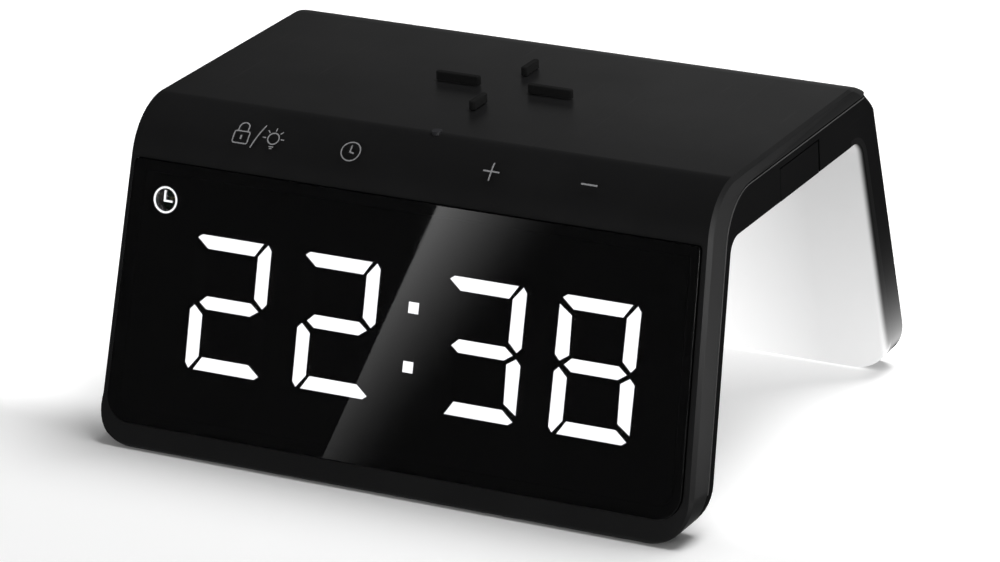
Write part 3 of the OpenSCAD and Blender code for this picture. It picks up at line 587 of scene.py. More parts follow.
cover_black = plastic("Satin black cover", (0.0074, 0.0074, 0.0076), (0.0086, 0.0086, 0.0088),
                      0.36, specular=0.16)
FINE_BLACK = (0.0052, 0.0052, 0.0054), (0.0062, 0.0062, 0.0064), 0.55
drawer_black = plastic("Fine-grained black", *FINE_BLACK, specular=0.015)
rubber_black = plastic("Matt black rubber", grey(0.005), grey(0.0075), 0.78, grain=1500.0,
                       depth=1.2e-5, specular=0.25)
# Painted highlight: a lighter grey on the seam bevel for the line of light along the seam
seam_painted_highlight = plastic("Seam edge with painted highlight", grey(0.08), grey(0.095), 0.4, depth=1e-6,
                    specular=0.3)
inlet_black = plastic("Inlet plastic", grey(0.01), grey(0.014), 0.4)
ink_grey = plastic("Grey ink", (0.2, 0.2, 0.205), (0.23, 0.23, 0.235), 0.6, grain=4000.0,
                   depth=2e-6, specular=0.2)
board_green = plastic("Solder mask", (0.01, 0.07, 0.025), (0.016, 0.1, 0.035), 0.3,
                      grain=900.0, depth=1e-5)
chip_black = plastic("Moulded resin", (0.012, 0.012, 0.013), (0.018, 0.018, 0.019), 0.55)
ferrite_grey = plastic("Ferrite", (0.03, 0.03, 0.033), (0.045, 0.045, 0.05), 0.65,
                       grain=1800.0, depth=1.5e-5)
film_amber = plastic("Amber film", (0.42, 0.16, 0.02), (0.5, 0.2, 0.03), 0.25, depth=2e-6)
tape_black = plastic("Foam tape", grey(0.012), grey(0.02), 0.9, grain=3000.0, depth=3e-5)
lamp_resin = plastic("Lamp resin", (0.62, 0.5, 0.16), (0.72, 0.6, 0.22), 0.3)
light_board_white = plastic("White solder mask", grey(0.72), grey(0.8), 0.4)
dark_resin = plastic("Unlit resin", (0.012, 0.012, 0.013), (0.016, 0.016, 0.018), 0.35)


def from_end(w, x, z):
    """How far a point lies inside the nearer end face, in metres"""
    reach = w.minus(BASE_W / 2000, w.times(z, math.tan(DRAFT)))
    return w.minus(reach, w.math("ABSOLUTE", x))


def painted_end_glow(w, x, z):
    """A painted glow on the rear leg's ends, brightest at the sole, which fades upwards and
    inwards
    """
    rise = w.minus(w.times(z, 1000.0), FOOT_PROUD)
    near = w.span(from_end(w, x, z), 0.0004, 0.0030, 1.0, 0.0, smooth=True)
    return w.times(w.times(w.math("POWER", 0.868, rise), 1.65), near)


def lower_black():
    """The lower moulding. Its black ends near the rear sole glow with painted light."""
    made, w, sockets = finish("Lower moulding", Specular_IOR_Level=0.015,
                              Emission_Color=(1, 1, 1, 1))
    x, y, z = w.axes()
    refine(w, sockets, *FINE_BLACK)
    rear = w.math("GREATER_THAN", y, 0.0)
    # Painted glow on the ends of the rear half, near the sole
    w.link(w.times(painted_end_glow(w, x, z), rear), sockets["Emission Strength"])
    return made


def smoked_acrylic():
    made, w, sockets = finish("Smoked acrylic", IOR=1.49, Transmission_Weight=1.0,
                              Base_Color=(0.08, 0.08, 0.082, 1))
    worn = w.group(HANDLING, Patches=22.0, Lines=1200.0)
    rough = w.plus(w.times(worn["Smudge"], 0.012), 0.008)
    w.link(w.plus(rough, w.times(worn["Scratch"], 0.01)), sockets["Roughness"])
    return made


def face_depth(w):
    """How far a point lies behind the front face, in metres"""
    x, y, z = w.axes()
    y = w.plus(y, BODY_D / 2000)
    z = w.minus(z, FOOT_PROUD / 1000)
    return w.minus(w.times(y, math.cos(FRONT_LEAN)), w.times(z, math.sin(FRONT_LEAN)))


def lit_resin():
    """Cast resin segments lit from behind, their light drifting a little between cool white and
    white
    """
    made, w, sockets = finish("Lit resin", Roughness=0.4)
    w.link(w.span(face_depth(w), 0.0024, 0.0025, 15.0, 0.0), sockets["Emission Strength"])
    cloud = w.span(w.noise(w.here(), 180.0, 2.0), 0.3, 0.7, 0.94, 1.0)
    w.link(w.blend(cloud, (0.9, 0.92, 0.95, 1), (1, 1, 1, 1)), sockets["Emission Color"])
    w.link(w.blend(cloud, (0.8, 0.8, 0.8, 1), (0.86, 0.86, 0.86, 1)), sockets["Base Color"])
    return made


def opal():
    """Opal plastic lit from behind, brightest low down and towards the clock's middle, with
    dark ends that a painted glow creeps into near the sole"""
    made, w, sockets = finish("Lit opal", Specular_IOR_Level=0.02, Emission_Color=(1, 1, 1, 1))
    x, y, z = w.axes()
    open_share = w.span(from_end(w, x, z), 0.0001, 0.0022, 0.0, 1.0, smooth=True)
    upward = w.span(z, 0.003, 0.064, 0.72, 0.46)
    inward = w.span(w.math("ABSOLUTE", x), 0.066, 0.020, 0.0, 0.38)
    cloud = w.span(w.noise(w.here(), 60.0, 3.0), 0.3, 0.7, 0.985, 1.0)
    panel = w.times(w.plus(upward, inward), cloud)
    w.link(w.plus(w.times(panel, open_share), painted_end_glow(w, x, z)), sockets["Emission Strength"])
    w.link(w.blend(open_share, (0.01, 0.01, 0.01, 1), (0.3, 0.3, 0.302, 1)), sockets["Base Color"])
    grains = w.group(GRAIN, Grain=1800.0, Rough=0.45, Spread=0.05)
    w.link(grains["Roughness"], sockets["Roughness"])
    bump(w, sockets, grains["Height"], 3e-6)
    return made


def housing_white():
    """White reflector plastic whose face towards the lens is printed black"""
    made, w, sockets = finish("Reflector plastic", Specular_IOR_Level=0.2)
    printed = w.math("LESS_THAN", face_depth(w), 0.00245)
    cloud = w.noise(w.here(), 90.0, 3.0)
    white = w.blend(cloud, (0.74, 0.74, 0.73, 1), (0.82, 0.82, 0.81, 1))
    w.link(w.blend(printed, white, (0.004, 0.004, 0.004, 1)), sockets["Base Color"])
    w.link(w.span(cloud, 0.3, 0.7, 0.55, 0.65), sockets["Roughness"])
    return made


def metal(name, dark, light, rough):
    """Metal with fine lines along x"""
    made, w, sockets = finish(name, Metallic=1.0)
    lay = w.node("Mapping")
    lay.inputs["Scale"].default_value = (1.0, 30.0, 30.0)
    w.link(w.here(), lay.inputs["Vector"])
    lines = w.noise(lay.outputs["Vector"], 60.0, 4.0, 0.65)
    w.link(w.blend(lines, (*dark, 1), (*light, 1)), sockets["Base Color"])
    w.link(w.span(lines, 0.3, 0.7, rough - 0.07, rough + 0.07), sockets["Roughness"])
    bump(w, sockets, lines, 4e-6)
    return made


screw_steel = metal("Zinc-plated steel", (0.42, 0.42, 0.44), (0.58, 0.58, 0.6), 0.32)
cell_steel = metal("Nickel-plated steel", (0.6, 0.6, 0.6), (0.74, 0.74, 0.73), 0.24)
contact_steel = metal("Contact spring", (0.6, 0.54, 0.36), (0.72, 0.66, 0.46), 0.28)
can_metal = metal("Capacitor can", (0.62, 0.62, 0.64), (0.76, 0.76, 0.78), 0.35)


def wound_copper():
    made, w, sockets = finish("Wound copper", Metallic=1.0)
    centre = w.node("Mapping")
    centre.inputs["Location"].default_value = (0, (BODY_D / 2 - CHARGE_Y) / 1000, 0)
    w.link(w.here(), centre.inputs["Vector"])
    turns = w.node("TexWave", wave_type="RINGS", rings_direction="Z")
    turns.inputs["Scale"].default_value = 330.0
    w.link(centre.outputs["Vector"], turns.inputs["Vector"])
    w.link(w.blend(turns.outputs["Fac"], (0.32, 0.12, 0.04, 1), (0.78, 0.36, 0.16, 1)),
           sockets["Base Color"])
    w.link(w.span(turns.outputs["Fac"], 0.0, 1.0, 0.45, 0.25), sockets["Roughness"])
    bump(w, sockets, turns.outputs["Fac"], 1e-4)
    return made


pad_copper = metal("Pad copper", (0.6, 0.3, 0.14), (0.75, 0.4, 0.2), 0.3)
smoked_guide = plastic("Smoked light guide", (0.02, 0.02, 0.022), (0.03, 0.03, 0.033), 0.35,
                       depth=1e-6, specular=0.2)
lower_moulding, lens_acrylic, opal_lit = lower_black(), smoked_acrylic(), opal()

for node, material in {
    "lens_tape": tape_black, "segment_housing": housing_white(), "lit_segments": lit_resin(),
    "unlit_segments": dark_resin, "display_board": board_green, "display_leds": lamp_resin,
    "touch_film": film_amber, "touch_pads": pad_copper,
    "charging_coil": wound_copper(), "coil_ferrite": ferrite_grey, "main_board": board_green,
    "main_board_chips": chip_black, "main_board_capacitors": can_metal,
    "alarm_sounder": chip_black, "night_light_board": light_board_white,
    "night_light_lamps": lamp_resin, "cell_contacts": contact_steel,
    "board_screws": screw_steel,
}.items():
    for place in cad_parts[node].material_slots:
        place.material = material


# The housing


def lens_outline(low, high, margin, low_r, high_r, near, far):
    """A block in the shape of the lens, between two depths below the front face"""
    bm = sheet(2, 2)
    low_x, high_x = face_half_w(low + low_r) - margin, face_half_w(high - high_r) - margin
    for v in bm.verts:
        top = v.co.y > 0
        v.co = Vector((math.copysign(high_x if top else low_x, v.co.x), near,
                       high if top else low))
    for top, r in ((False, low_r), (True, high_r)):
        round_corners(bm, r, 10, [v for v in bm.verts if (v.co.z > (low + high) / 2) == top])
    made = corners_in(bmesh.ops.extrude_face_region(bm, geom=bm.faces[:]))
    bmesh.ops.translate(bm, vec=(0, far - near, 0), verts=made)
    bmesh.ops.recalc_face_normals(bm, faces=bm.faces)
    return bm


def hollow_space():
    """The room inside both shells"""
    return arch_form(
        (front_y(SOLE, HOLLOW.front), SOLE), HOLLOW.front_start.yz,
        (HOLLOW.front_turn, -FRONT_TURN, 12), (HOLLOW.rear_turn.y, HOLLOW.top),
        (HOLLOW.rear_turn, -REAR_TURN, 12), (rear_y(SOLE, HOLLOW.rear), SOLE),
        (rear_y(SOLE, REAR_LEG), SOLE), UNDERSIDE.rear_end.yz,
        (UNDERSIDE.rear_turn, REAR_TURN, 8), (PANEL_START, SLAB_UNDER),
        (PANEL_START, SLAB_FLOOR), (INNER_WALL.front_turn.y, SLAB_FLOOR),
        (INNER_WALL.front_turn, FRONT_TURN, 8), (front_y(SOLE, INNER_WALL.front), SOLE),
        inset=SIDE_WALL)


def both_sides(x, y):
    return [at(side * x, y, 0) for side in (-1, 1)]


def face_places(shares, inset):
    """Places in pairs on the front face, with z square to it and running inwards"""
    return [ON_FACE @ at(side * (face_half_w(share * LENS_HIGH) - inset), 0, share * LENS_HIGH)
            @ TO_BACK for share in shares for side in (-1, 1)]


COVER_SCREWS = face_places((0.14, 0.88), SIDE_WALL + BOSS_R - 0.35)
DISPLAY_SCREWS = face_places((0.36, 0.66), LENS_MARGIN + LEDGE - BOARD_BOSS_R - LENS_GAP)
SLAB_SCREWS = both_sides(half_w(BODY_H) - SIDE_WALL - 2 * BOSS_R,
                         HOLLOW.rear_turn.y - 3 * BOSS_R)
HOLE_IN, BOARD_IN = 2.6, 15.5
BOARD_SCREWS = [
    at(x, y, 0)
    for x in (SOUNDER_X + 7 + HOLE_IN, DRAWER_BACK - DRAWER_GAP - BAY_WALL - 2 - HOLE_IN)
    for y in (front_y(SLAB_UNDER, FRONT_LEG) + BOARD_IN + HOLE_IN,
              rear_y(SLAB_UNDER, REAR_LEG) - BOARD_IN - HOLE_IN)]
FRONT_FEET = both_sides(FOOT_X, front_y(0, SEAM_FRONT / 2))
REAR_FEET = both_sides(FOOT_X, rear_y(0, (REAR_LEG - PANEL_T) / 2))


def foot_pockets(places):
    return copies(lambda: long_pad(FOOT_L + 0.1, FOOT_W + 0.1, -RUN, FOOT_SUNK), *places)


INDICATOR = (at(*SKIN.front_turn) @ Matrix.Rotation(INDICATOR_R / FRONT_BEND_R, 4, "X")
             @ at(0, 0, FRONT_BEND_R))
GRIPS = [
    (at(0, CHARGE_Y, BODY_H) @ Matrix.Rotation(math.radians(a), 4, "Z")
     @ at(near + length / 2, 0, 0), length)
    for a, near, length in ((0, 6.9, 12.9), (180, 6.9, 12.9), (90, 10.8, 8.2), (270, 10.8, 8.2))
]


def upper_shell():
    end = math.asin((OUTER_SEAM.top - SKIN.rear_turn.z) / REAR_BEND_R)
    bm = arch_form(
        (0, 0), SKIN.front_start.yz, (SKIN.front_turn, -FRONT_TURN, 28),
        (SKIN.rear_turn.y, BODY_H), (SKIN.rear_turn, end - math.pi / 2, 14),
        (OUTER_SEAM.front_turn.y, OUTER_SEAM.top), (OUTER_SEAM.front_turn, FRONT_TURN, 20),
        (front_y(0, SEAM_FRONT), 0))
    round_foot_corners(bm)
    soften(bm, border(bm, SKIN, OUTER_SEAM), EDGE_R, 6)
    reshape_rim(bm, facet_profile)
    soften(bm, border(bm, OUTER_SEAM), SEAM_BEVEL, 2)
    trim_rear_corners(bm)
    pocket = lens_outline(
        LENS_LOW - LENS_GAP, LENS_HIGH + LENS_GAP, LENS_MARGIN - LENS_GAP, LENS_LOW_R,
        LENS_HIGH_R, -1, LENS_T + 0.2)
    window = lens_outline(
        LENS_LOW + LEDGE, LENS_HIGH - LEDGE, LENS_MARGIN + LEDGE, LENS_LOW_R - LEDGE,
        LENS_HIGH_R, -1, 9)
    light_hole = placed(rod(INDICATOR_R + PILOT, -2 * TOP_WALL, TOP_WALL), INDICATOR)
    bm = carve(bm, hollow_space(), placed(pocket, ON_FACE), placed(window, ON_FACE), light_hole,
               foot_pockets(FRONT_FEET),
               *[placed(long_pad(length, GRIP_W, -GRIP_SUNK, RUN), m) for m, length in GRIPS])
    bm = fuse(bm, rods(BOSS_R, LEDGE_BACK - LEDGE_BITE, SEAM_FRONT, *COVER_SCREWS),
              rods(BOARD_BOSS_R, LEDGE_BACK - LEDGE_BITE, BOARD_FRONT, *DISPLAY_SCREWS),
              rods(BOSS_R, OUTER_SEAM.top, BODY_H - TOP_WALL / 2, *SLAB_SCREWS))
    bm = carve(bm, rods(SCREW_R + PILOT, SEAM_FRONT - BITE - 0.5, SEAM_FRONT + 0.5, *COVER_SCREWS),
               rods(BOARD_SCREW_R + PILOT, BOARD_FRONT - BOARD_BITE - 0.5, BOARD_FRONT + 0.5,
                    *DISPLAY_SCREWS),
               rods(SCREW_R + PILOT, OUTER_SEAM.top - RUN, OUTER_SEAM.top + BITE, *SLAB_SCREWS))
    rim = [e for e in sharp_edges(bm) if SKIN.holds(e) and e.verts[0].co.z < 74]
    soften(bm, rim, 0.12, 2)
    return bm


piece("upper_shell_cover", upper_shell(), cover_black, ["upper_shell"])


def lower_shell():
    turn = math.asin((INNER_SEAM.top - SKIN.rear_turn.z) / REAR_BEND_R)
    bm = arch_form(
        (front_y(0, INNER_SEAM.front), 0), INNER_SEAM.front_start.yz,
        (INNER_SEAM.front_turn, -FRONT_TURN, 20),
        (SKIN.rear_turn.y + REAR_BEND_R * math.cos(turn), INNER_SEAM.top),
        (SKIN.rear_turn, REAR_LEAN - turn, 10), (BODY_D, 0), (rear_y(0, INNER_WALL.rear), 0),
        INNER_WALL.rear_end.yz, (INNER_WALL.rear_turn, REAR_TURN, 12),
        (PANEL_START - LENS_GAP, SLAB_FLOOR), (PANEL_START - LENS_GAP, SLAB_UNDER),
        (UNDERSIDE.front_turn.y, SLAB_UNDER), (UNDERSIDE.front_turn, FRONT_TURN, 12),
        (front_y(0, FRONT_LEG), 0))
    round_foot_corners(bm)
    soften(bm, border(bm, SKIN, INNER_SEAM), EDGE_R, 6)
    reshape_rim(bm, tight_profile)
    soften(bm, border(bm, INNER_SEAM), SEAM_BEVEL, 2)
    soften(bm, border(bm, UNDERSIDE, INNER_WALL), 0.4, 2)
    trim_rear_corners(bm)
    bay = block(
        (DRAWER_BACK - DRAWER_GAP - BAY_WALL, DRAWER_Y - BAY_REACH, SLAB_FLOOR - FLOOR_BITE),
        (half_w(DRAWER_TOP) - 1.1, DRAWER_Y + BAY_REACH, DRAWER_TOP + DRAWER_GAP + BAY_WALL))
    bosses = [
        rods(BOSS_R, SEAM_FRONT + SEAM_GAP, FRONT_LEG - 0.8, *COVER_SCREWS),
        rods(BOSS_R, SLAB_FLOOR - FLOOR_BITE, INNER_SEAM.top, *SLAB_SCREWS),
        rods(BOARD_BOSS_R, SLAB_FLOOR - FLOOR_BITE, SLAB_FLOOR + POST, *BOARD_SCREWS),
    ]
    bm = fuse(carve(bm, hollow_space()), bay, *bosses)
    sounder = at(SOUNDER_X, CHARGE_Y, 0)
    ring = [sounder @ Matrix.Rotation(math.radians(a), 4, "Z") @ at(3.4, 0, 0)
            for a in range(0, 360, 60)]
    bm = carve(
        bm,
        block((DRAWER_BACK - DRAWER_GAP, DRAWER_Y - TRAY_W / 2 - DRAWER_GAP, SLAB_FLOOR),
              (BASE_W, DRAWER_Y + TRAY_W / 2 + DRAWER_GAP, DRAWER_TOP + DRAWER_GAP)),
        block((DRAWER_X - DRAWER_GAP, DRAWER_Y - DRAWER_W / 2 - DRAWER_GAP, SLAB_UNDER - RUN),
              (BASE_W, DRAWER_Y + DRAWER_W / 2 + DRAWER_GAP, DRAWER_TOP + DRAWER_GAP)),
        rods(SCREW_R + PASS, SEAM_FRONT, FRONT_LEG + RUN, *COVER_SCREWS),
        rods(HEAD_R + PASS, FRONT_LEG - HEAD_H, FRONT_LEG + RUN, *COVER_SCREWS),
        rods(SCREW_R + PASS, SLAB_UNDER - RUN, BODY_H, *SLAB_SCREWS),
        rods(HEAD_R + PASS, SLAB_UNDER - RUN, SLAB_UNDER + HEAD_H, *SLAB_SCREWS),
        rods(BOARD_SCREW_R + PILOT, SLAB_FLOOR + POST - BOARD_BITE, SLAB_FLOOR + POST + RUN,
             *BOARD_SCREWS),
        rods(INLET_R + 0.15, INLET_Y, INLET_Y + REAR_BEND_R, at(0, 0, INLET_Z) @ TO_BACK),
        rods(0.8, SLAB_UNDER - RUN, SLAB_FLOOR + RUN, sounder, *ring),
        foot_pockets(REAR_FEET),
    )
    way_in = sharp_edges(bm, lambda p: abs(p.x - half_w(p.z)) < TOUCH
                         and abs(p.y - DRAWER_Y) < 13 and p.z > SLAB_UNDER - TOUCH)
    soften(bm, way_in, 0.15, 2)
    # The narrow bevel between the seam and the ends takes the painted highlight
    edge_w, largest = SEAM_BEVEL + TOUCH, 40
    for face in bm.faces:
        middle = face.calc_center_median()
        near_end = 0 <= half_w(middle.z) - abs(middle.x) < edge_w
        face.material_index = int(near_end and abs(INNER_SEAM.depth(middle)) < edge_w
                                  and face.calc_area() < largest)
    return bm


lower_piece = piece("lower_shell_moulding", lower_shell(), lower_moulding,
                    ["lower_shell"])
lower_piece.data.materials.append(seam_painted_highlight)


def opal_panel():
    bm = arch_form(
        (PANEL_START, SLAB_UNDER), (UNDERSIDE.rear_turn.y, SLAB_UNDER),
        (UNDERSIDE.rear_turn, -REAR_TURN, 14), (rear_y(0, REAR_LEG), 0),
        (rear_y(0, INNER_WALL.rear), 0), INNER_WALL.rear_end.yz,
        (INNER_WALL.rear_turn, REAR_TURN, 14), (PANEL_START, SLAB_FLOOR))
    round_foot_corners(bm)
    soften(bm, border(bm, UNDERSIDE), 0.45, 3)
    return bm


piece("night_light_diffuser", opal_panel(), opal_lit, ["night_light_panel"])


def indicator():
    bm = rod(INDICATOR_R, -2.5, 0.05)
    soften(bm, sharp_edges(bm, lambda p: p.z > 0), 0.2, 3)
    return placed(bm, INDICATOR)


piece("charge_light_guide", indicator(), smoked_guide, ["charge_indicator"])


def lens():
    bm = lens_outline(LENS_LOW, LENS_HIGH, LENS_MARGIN, LENS_LOW_R, LENS_HIGH_R, 0, LENS_T)
    soften(bm, sharp_edges(bm, lambda p: abs(p.y) < TOUCH), 0.15, 2)
    return placed(bm, ON_FACE)


piece("display_lens_plate", lens(), lens_acrylic, ["display_lens"])


def grip_strip(length):
    bm = long_pad(length, GRIP_W - PILOT, -GRIP_SUNK, GRIP_H)
    soften(bm, sharp_edges(bm, lambda p: p.z > GRIP_H - TOUCH), 0.35, 3)
    return bm


for name, strips in (("wide_grip_strips", GRIPS[:2]), ("deep_grip_strips", GRIPS[2:])):
    shapes = [placed(grip_strip(length), m) for m, length in strips]
    piece(name + "_rubber", join(*shapes), rubber_black, [name])


def rubber_foot():
    bm = long_pad(FOOT_L, FOOT_W, -FOOT_PROUD, FOOT_SUNK)
    soften(bm, sharp_edges(bm, lambda p: p.z < 0), 0.25, 2)
    return bm


for name, places in (("front_feet", FRONT_FEET), ("rear_feet", REAR_FEET)):
    piece(name + "_rubber", copies(rubber_foot, *places), rubber_black, [name])


# Drawer, cell, inlet and screws


def drawer():
    front = block((DRAWER_X, DRAWER_Y - DRAWER_W / 2, SLAB_UNDER),
                  (DRAWER_X + 1, DRAWER_Y + DRAWER_W / 2 - 0.4, DRAWER_TOP))
    face = [v for v in front.verts if v.co.x > DRAWER_X + 0.5]
    for v in face:
        v.co.x = half_w(v.co.z)
    soften(front, [e for e in front.edges if all(v in face for v in e.verts)], 0.25, 3)
    tray = block((DRAWER_BACK, DRAWER_Y - TRAY_W / 2, TRAY_Z),
                 (DRAWER_X + DRAWER_FRONT / 2, DRAWER_Y + TRAY_W / 2, TRAY_TOP))
    back = [e for e in tray.edges
            if is_upright(e) and all(v.co.x < DRAWER_BACK + TOUCH for v in e.verts)]
    soften(tray, back, 1.2, 5)
    pocket = placed(rod(CELL_R + DRAWER_GAP / 2, 0, CELL_T + RUN, 96), at(*CELL))
    nail_slot = block((DRAWER_X, DRAWER_Y - 4, SLAB_UNDER - RUN),
                      (DRAWER_X + DRAWER_FRONT / 2, DRAWER_Y + 4, SLAB_UNDER + 1.2))
    return carve(fuse(front, tray), pocket, nail_slot)


piece("battery_drawer_moulding", drawer(), drawer_black, ["battery_drawer"],
      "drawer")

coin = turned([(0, 0), (9.6, 0), (9.9, 0.1), (10, 0.35), (10, 2.7), (9.85, 2.95), (9.55, 3.0),
               (9.15, 3.0), (9.1, 2.8), (8.95, 2.8), (8.85, 3.05), (8.6, 3.2), (0, 3.2)], 96)
piece("coin_cell_can", placed(coin, at(*CELL)), cell_steel, ["coin_cell"],
      "drawer")


def power_inlet():
    body = block((-4.5, INLET_Y - 13, SLAB_FLOOR), (4.5, INLET_Y, SLAB_FLOOR + 8.8))
    soften(body, body.edges[:], 0.3, 2)
    outwards = at(0, 0, INLET_Z) @ TO_BACK
    collar = placed(rod(INLET_R, INLET_Y - RUN, INLET_MOUTH, 64), outwards)
    bore = placed(rod(INLET_BORE, INLET_MOUTH - 9.5, INLET_MOUTH + RUN, 64), outwards)
    bm = carve(fuse(body, collar), bore)
    soften(bm, sharp_edges(bm, lambda p: p.y > INLET_MOUTH - TOUCH), 0.3, 3)
    floor_y = INLET_MOUTH - 10.5
    pin = turned([(0, floor_y), (1, floor_y), (1, floor_y + 8.9), (0.85, floor_y + 9.3),
                  (0.5, floor_y + 9.48), (0, floor_y + 9.5)], 32)
    return join(bm, placed(pin, outwards))


piece("power_inlet_socket", power_inlet(), inlet_black, ["power_inlet"])


def screw(reach):
    """A screw with a cross recess, its head's seat at z = 0 and its shank below"""
    bm = turned([(0, -reach), (SCREW_R - 0.3, -reach), (SCREW_R, -reach + 0.4), (SCREW_R, 0),
                 (HEAD_R, 0), (HEAD_R, HEAD_H - 0.35), (HEAD_R - 0.3, HEAD_H - 0.05),
                 (HEAD_R - 0.6, HEAD_H), (0, HEAD_H)], 48)
    wings = [block((-x, -y, HEAD_H - 0.75), (x, y, HEAD_H + RUN))
             for x, y in ((1.25, 0.26), (0.26, 1.25))]
    return carve(bm, *wings)


piece("cover_screws_steel",
      copies(lambda: screw(FRONT_LEG - HEAD_H - SEAM_FRONT + BITE),
             *[place @ at(0, 0, FRONT_LEG - HEAD_H) for place in COVER_SCREWS]),
      screw_steel, ["cover_screws"])
piece("slab_screws_steel",
      copies(lambda: screw(SLAB - SEAM_TOP + BITE - PASS - HEAD_H),
             *[place @ at(0, 0, SLAB_UNDER + HEAD_H) @ TO_FLOOR for place in SLAB_SCREWS]),
      screw_steel, ["slab_screws"])


# Marks on the bend


INK = 0.34


def hollowed(bm):
    """Leaves only the border of a flat shape"""
    bmesh.ops.inset_region(bm, faces=bm.faces[:], thickness=INK, use_boundary=True,
                           use_even_offset=True)
    middle = max(bm.faces, key=lambda face: len(face.verts))
    bmesh.ops.delete(bm, geom=[middle], context="FACES")
    return bm


def flat_ring(r):
    bm = bmesh.new()
    bmesh.ops.create_circle(bm, cap_ends=True, segments=48, radius=r)
    return hollowed(bm)


def flat_bar(start, end, line=INK):
    """A straight stroke between two points"""
    start, end = Vector((*start, 0)), Vector((*end, 0))
    along = end - start
    bm = sheet(along.length + line, line)
    round_corners(bm, 0.48 * line, 4)
    return placed(bm, at(*(start + end) / 2)
                  @ Matrix.Rotation(math.atan2(along.y, along.x), 4, "Z"))


def lock_mark():
    body = sheet(4.7, 3.7)
    round_corners(body, 0.7, 6)
    placed(hollowed(body), at(0, 1.85, 0))
    shackle = flat_ring(1.55)
    slice_at(shackle, (0, 0, 0), (0, -1, 0), clear_outer=True)
    placed(shackle, at(0, 4.75, 0))
    legs = [flat_bar((x, 3.8), (x, 4.75)) for x in (-1.38, 1.38)]
    keyhole = flat_bar((0, 1.5), (0, 2.2), 0.5)
    return join(body, shackle, *legs, keyhole)


def lamp_mark():
    bulb = flat_ring(1.75)
    ways = [(math.cos(math.radians(a)), math.sin(math.radians(a))) for a in range(0, 181, 45)]
    rays = [flat_bar((2.25 * x, 2.25 * y), (3.0 * x, 3.0 * y), 0.28) for x, y in ways]
    base = [flat_bar((-0.55, -2.3), (0.55, -2.3), 0.28), flat_bar((-0.3, -2.8), (0.3, -2.8), 0.26)]
    return join(bulb, *rays, *base)


def alarm_mark():
    return join(flat_ring(2.8), flat_bar((-0.15, 1.5), (-0.15, -0.3), INK + 0.06),
                flat_bar((-0.15, -0.3), (0.85, -0.45), INK + 0.06))


def on_bend(bm, x, turn):
    """Wraps a flat mark round the front bend, its middle at an angle above the horizontal"""
    bmesh.ops.translate(bm, vec=(x, math.radians(turn) * FRONT_BEND_R, 0), verts=bm.verts)
    step, lift, ink_depth = 0.5, FRONT_BEND_R + 0.02, 0.04
    level = min(v.co.y for v in bm.verts) + step
    high = max(v.co.y for v in bm.verts)
    while level < high:
        slice_at(bm, (0, level, 0), (0, 1, 0))
        level += step
    for v in bm.verts:
        a = v.co.y / FRONT_BEND_R
        v.co = SKIN.front_turn + Vector((v.co.x, -lift * math.cos(a), lift * math.sin(a)))
    bmesh.ops.recalc_face_normals(bm, faces=bm.faces)
    bmesh.ops.solidify(bm, geom=bm.faces[:], thickness=ink_depth)
    return bm


marks = join(
    on_bend(lock_mark(), -50.9, 36.5),
    on_bend(flat_bar((-1.2, -3.3), (1.2, 3.3)), -46.3, 46.0),
    on_bend(lamp_mark(), -41.7, 45.7),
    on_bend(alarm_mark(), -19.2, 45.2),
    on_bend(join(flat_bar((-2.1, 0), (2.1, 0), INK + 0.08),
                 flat_bar((0, -2.4), (0, 2.4), INK + 0.08)), 20.6, 46.5),
    on_bend(flat_bar((-2.05, 0), (2.05, 0), INK + 0.14), 47.7, 48.0),
)
piece("touch_marks", marks, ink_grey)

# The studio

# The camera's place, turn and lens were worked out from the lines of the photograph
camera_data = bpy.data.cameras.new("Camera")
camera = add_object("Camera", camera_data)
camera_data.sensor_width = 36.0
camera_data.lens = 183.50
camera_data.clip_end = 50.0
RIGHT = Vector((0.8917, 0.4523, -0.0177)).normalized()
BACK = Vector((0.4282, -0.8301, 0.3572)).normalized()
UP = BACK.cross(RIGHT).normalized()
RIGHT = UP.cross(BACK)
view = Matrix((RIGHT, UP, BACK)).transposed().to_4x4()
view.translation = Vector((0.5721, -1.11045, 0.5120))
camera.matrix_world = view
bpy.context.scene.camera = camera


def studio_lamp(name, place, aim, size, power):
    """A softbox that lights the clock; only the cards below are mirrored in it"""
    data = bpy.data.lights.new(name, "AREA")
    data.shape = "RECTANGLE"
    data.size, data.size_y = size
    data.energy = power
    lamp = add_object(name, data)
    lamp.location = place
    lamp.rotation_euler = (Vector(aim) - Vector(place)).to_track_quat("-Z", "Y").to_euler()
    lamp.visible_glossy = lamp.visible_transmission = False


studio_lamp("Overhead softbox", (0.28, 0.40, 1.4), (0, 0, 0.05), (0.8, 0.7), 22.0)
studio_lamp("Front softbox", (-0.35, -1.6, 0.35), (0, 0, 0.04), (1.2, 0.5), 10.5)

world = bpy.data.worlds.new("Studio")
bpy.context.scene.world = world
world.use_nodes = True
w = Wiring(world.node_tree)
sky = world.node_tree.nodes["Background"]
rays = w.node("LightPath").outputs
seen = w.math("MAXIMUM", rays["Is Camera Ray"],
              w.math("MAXIMUM", rays["Is Glossy Ray"], rays["Is Transmission Ray"]))
w.link(w.span(seen, 0.0, 1.0, 0.15, 1.0), sky.inputs["Strength"])
sky.inputs["Color"].default_value = (1, 1, 1, 1)

# The floor keeps the shadow in front of the clock; behind the front leg a glow that only the
# camera sees paints light over the shadow under the arch
floor_mesh = as_mesh("Floor", sheet(8, 8))
floor_paper, w, sockets = finish(
    "White paper", Roughness=0.9, Specular_IOR_Level=0.1, Base_Color=(0.9, 0.9, 0.9, 1),
    Emission_Color=(1, 1, 1, 1))
rays = w.node("LightPath").outputs
# Painted light: a camera-only glow that lifts the floor's shadow behind the front leg
painted_floor_light = w.span(w.axes()[1], -0.064, -0.040, 0.0, 0.36, smooth=True)
w.link(w.times(rays["Is Camera Ray"], painted_floor_light), sockets["Emission Strength"])
floor_mesh.materials.append(floor_paper)
add_object("Floor", floor_mesh)


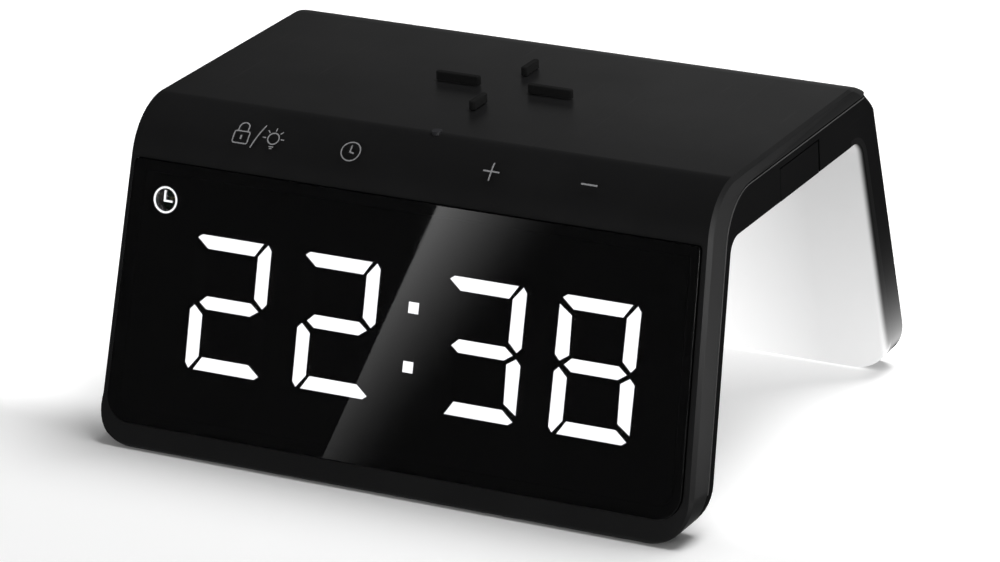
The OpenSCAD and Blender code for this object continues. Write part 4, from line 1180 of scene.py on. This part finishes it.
def reflected(name, bm, strength, stand=Matrix()):
    """A card that only reflections show, its glow worked out from a place on it"""
    mesh = as_mesh(name, bm)
    made = bpy.data.materials.new(name)
    made.use_nodes = True
    w = Wiring(made.node_tree)
    w.tree.nodes.remove(w.tree.nodes["Principled BSDF"])
    glow = w.node("Emission")
    w.feed(glow.inputs["Strength"], strength(w, *w.axes()))
    w.link(glow.outputs[0], w.tree.nodes["Material Output"].inputs["Surface"])
    mesh.materials.append(made)
    card = add_object(name, mesh)
    card.visible_camera = card.visible_diffuse = card.visible_shadow = False
    card.visible_transmission = False
    card.matrix_world = stand


def facing(centre, normal, up=(0, 0, 1)):
    """Sets a sheet at a place, facing along a normal"""
    normal = Vector(normal).normalized()
    across = Vector(up).cross(normal).normalized()
    turn = Matrix((across, normal.cross(across), normal)).transposed().to_4x4()
    turn.translation = Vector(centre)
    return turn


# A dark canopy arches over the clock from front to rear
canopy = bmesh.new()
ends = [canopy.verts.new((x, -1.6, 0.0)) for x in (-2.4, 0.35)]
edge = canopy.edges.new(ends)
bmesh.ops.spin(canopy, geom=[*ends, edge], cent=(0, 0, 0), axis=(1, 0, 0), angle=-math.pi,
               steps=48)
reflected("Canopy", canopy, lambda w, x, y, z: 0.004)


def rear_glow(w, x, y, z):
    """Grey low down behind the clock, which its top mirrors, and darker towards the left"""
    low = w.times(w.span(y, 0.03, 0.08, 1.0, 0.0, smooth=True), w.span(y, -0.01, 0.04, 0.72, 1.1))
    return w.times(low, w.span(x, -0.20, 0.10, 0.0, 0.32))


reflected("Rear card", sheet(1.0, 0.24), rear_glow, facing((-0.1, 0.14, 0.10), (0, -1, 0)))


def ground_glow(w, x, y, z):
    """Lighter away from the clock's end, and dark behind a line that runs to the rear"""
    away = w.plus(w.span(x, 0.0, 0.26, 0.40, 1.23), w.span(x, 0.15, 0.27, 0.0, 4.6, smooth=True))
    ahead = w.span(w.minus(y, w.times(x, 1.1)), -0.03, 0.05, 1.0, 0.12, smooth=True)
    return w.times(away, ahead)


# What the right end mirrors of the ground beside it
reflected("Ground card", sheet(3.0, 3.0), ground_glow, at(0.086, -0.065, 0.0015))

# A grey wall to the right and rear, for the rim along the top
reflected("Side card", sheet(1.6, 1.2), lambda w, x, y, z: w.span(y, -0.6, 0.0, 2.6, 0.12),
          facing((0.75, 0.75, 0.62), (-0.6, -0.8, 0)))


def window_glow(w, x, y, z):
    """Falls off from the card's clear border and from its top"""
    level = w.plus(w.times(x, 6.31), w.times(y, 1.38))
    level = w.math("MAXIMUM", w.plus(level, 0.0536), 0.0)
    return w.times(w.math("POWER", level, 2.2), 25.3)


# The lens mirrors its border as a clear line that leans over the display
reflected("Window card", sheet(0.07, 0.175), window_glow,
          facing((-0.5092, -1.1377, 0.1337), (0.4413, 0.8928, -0.0906),
                 (0.2328, -0.0164, 0.9724)))

bpy.context.scene.view_settings.view_transform = "Standard"
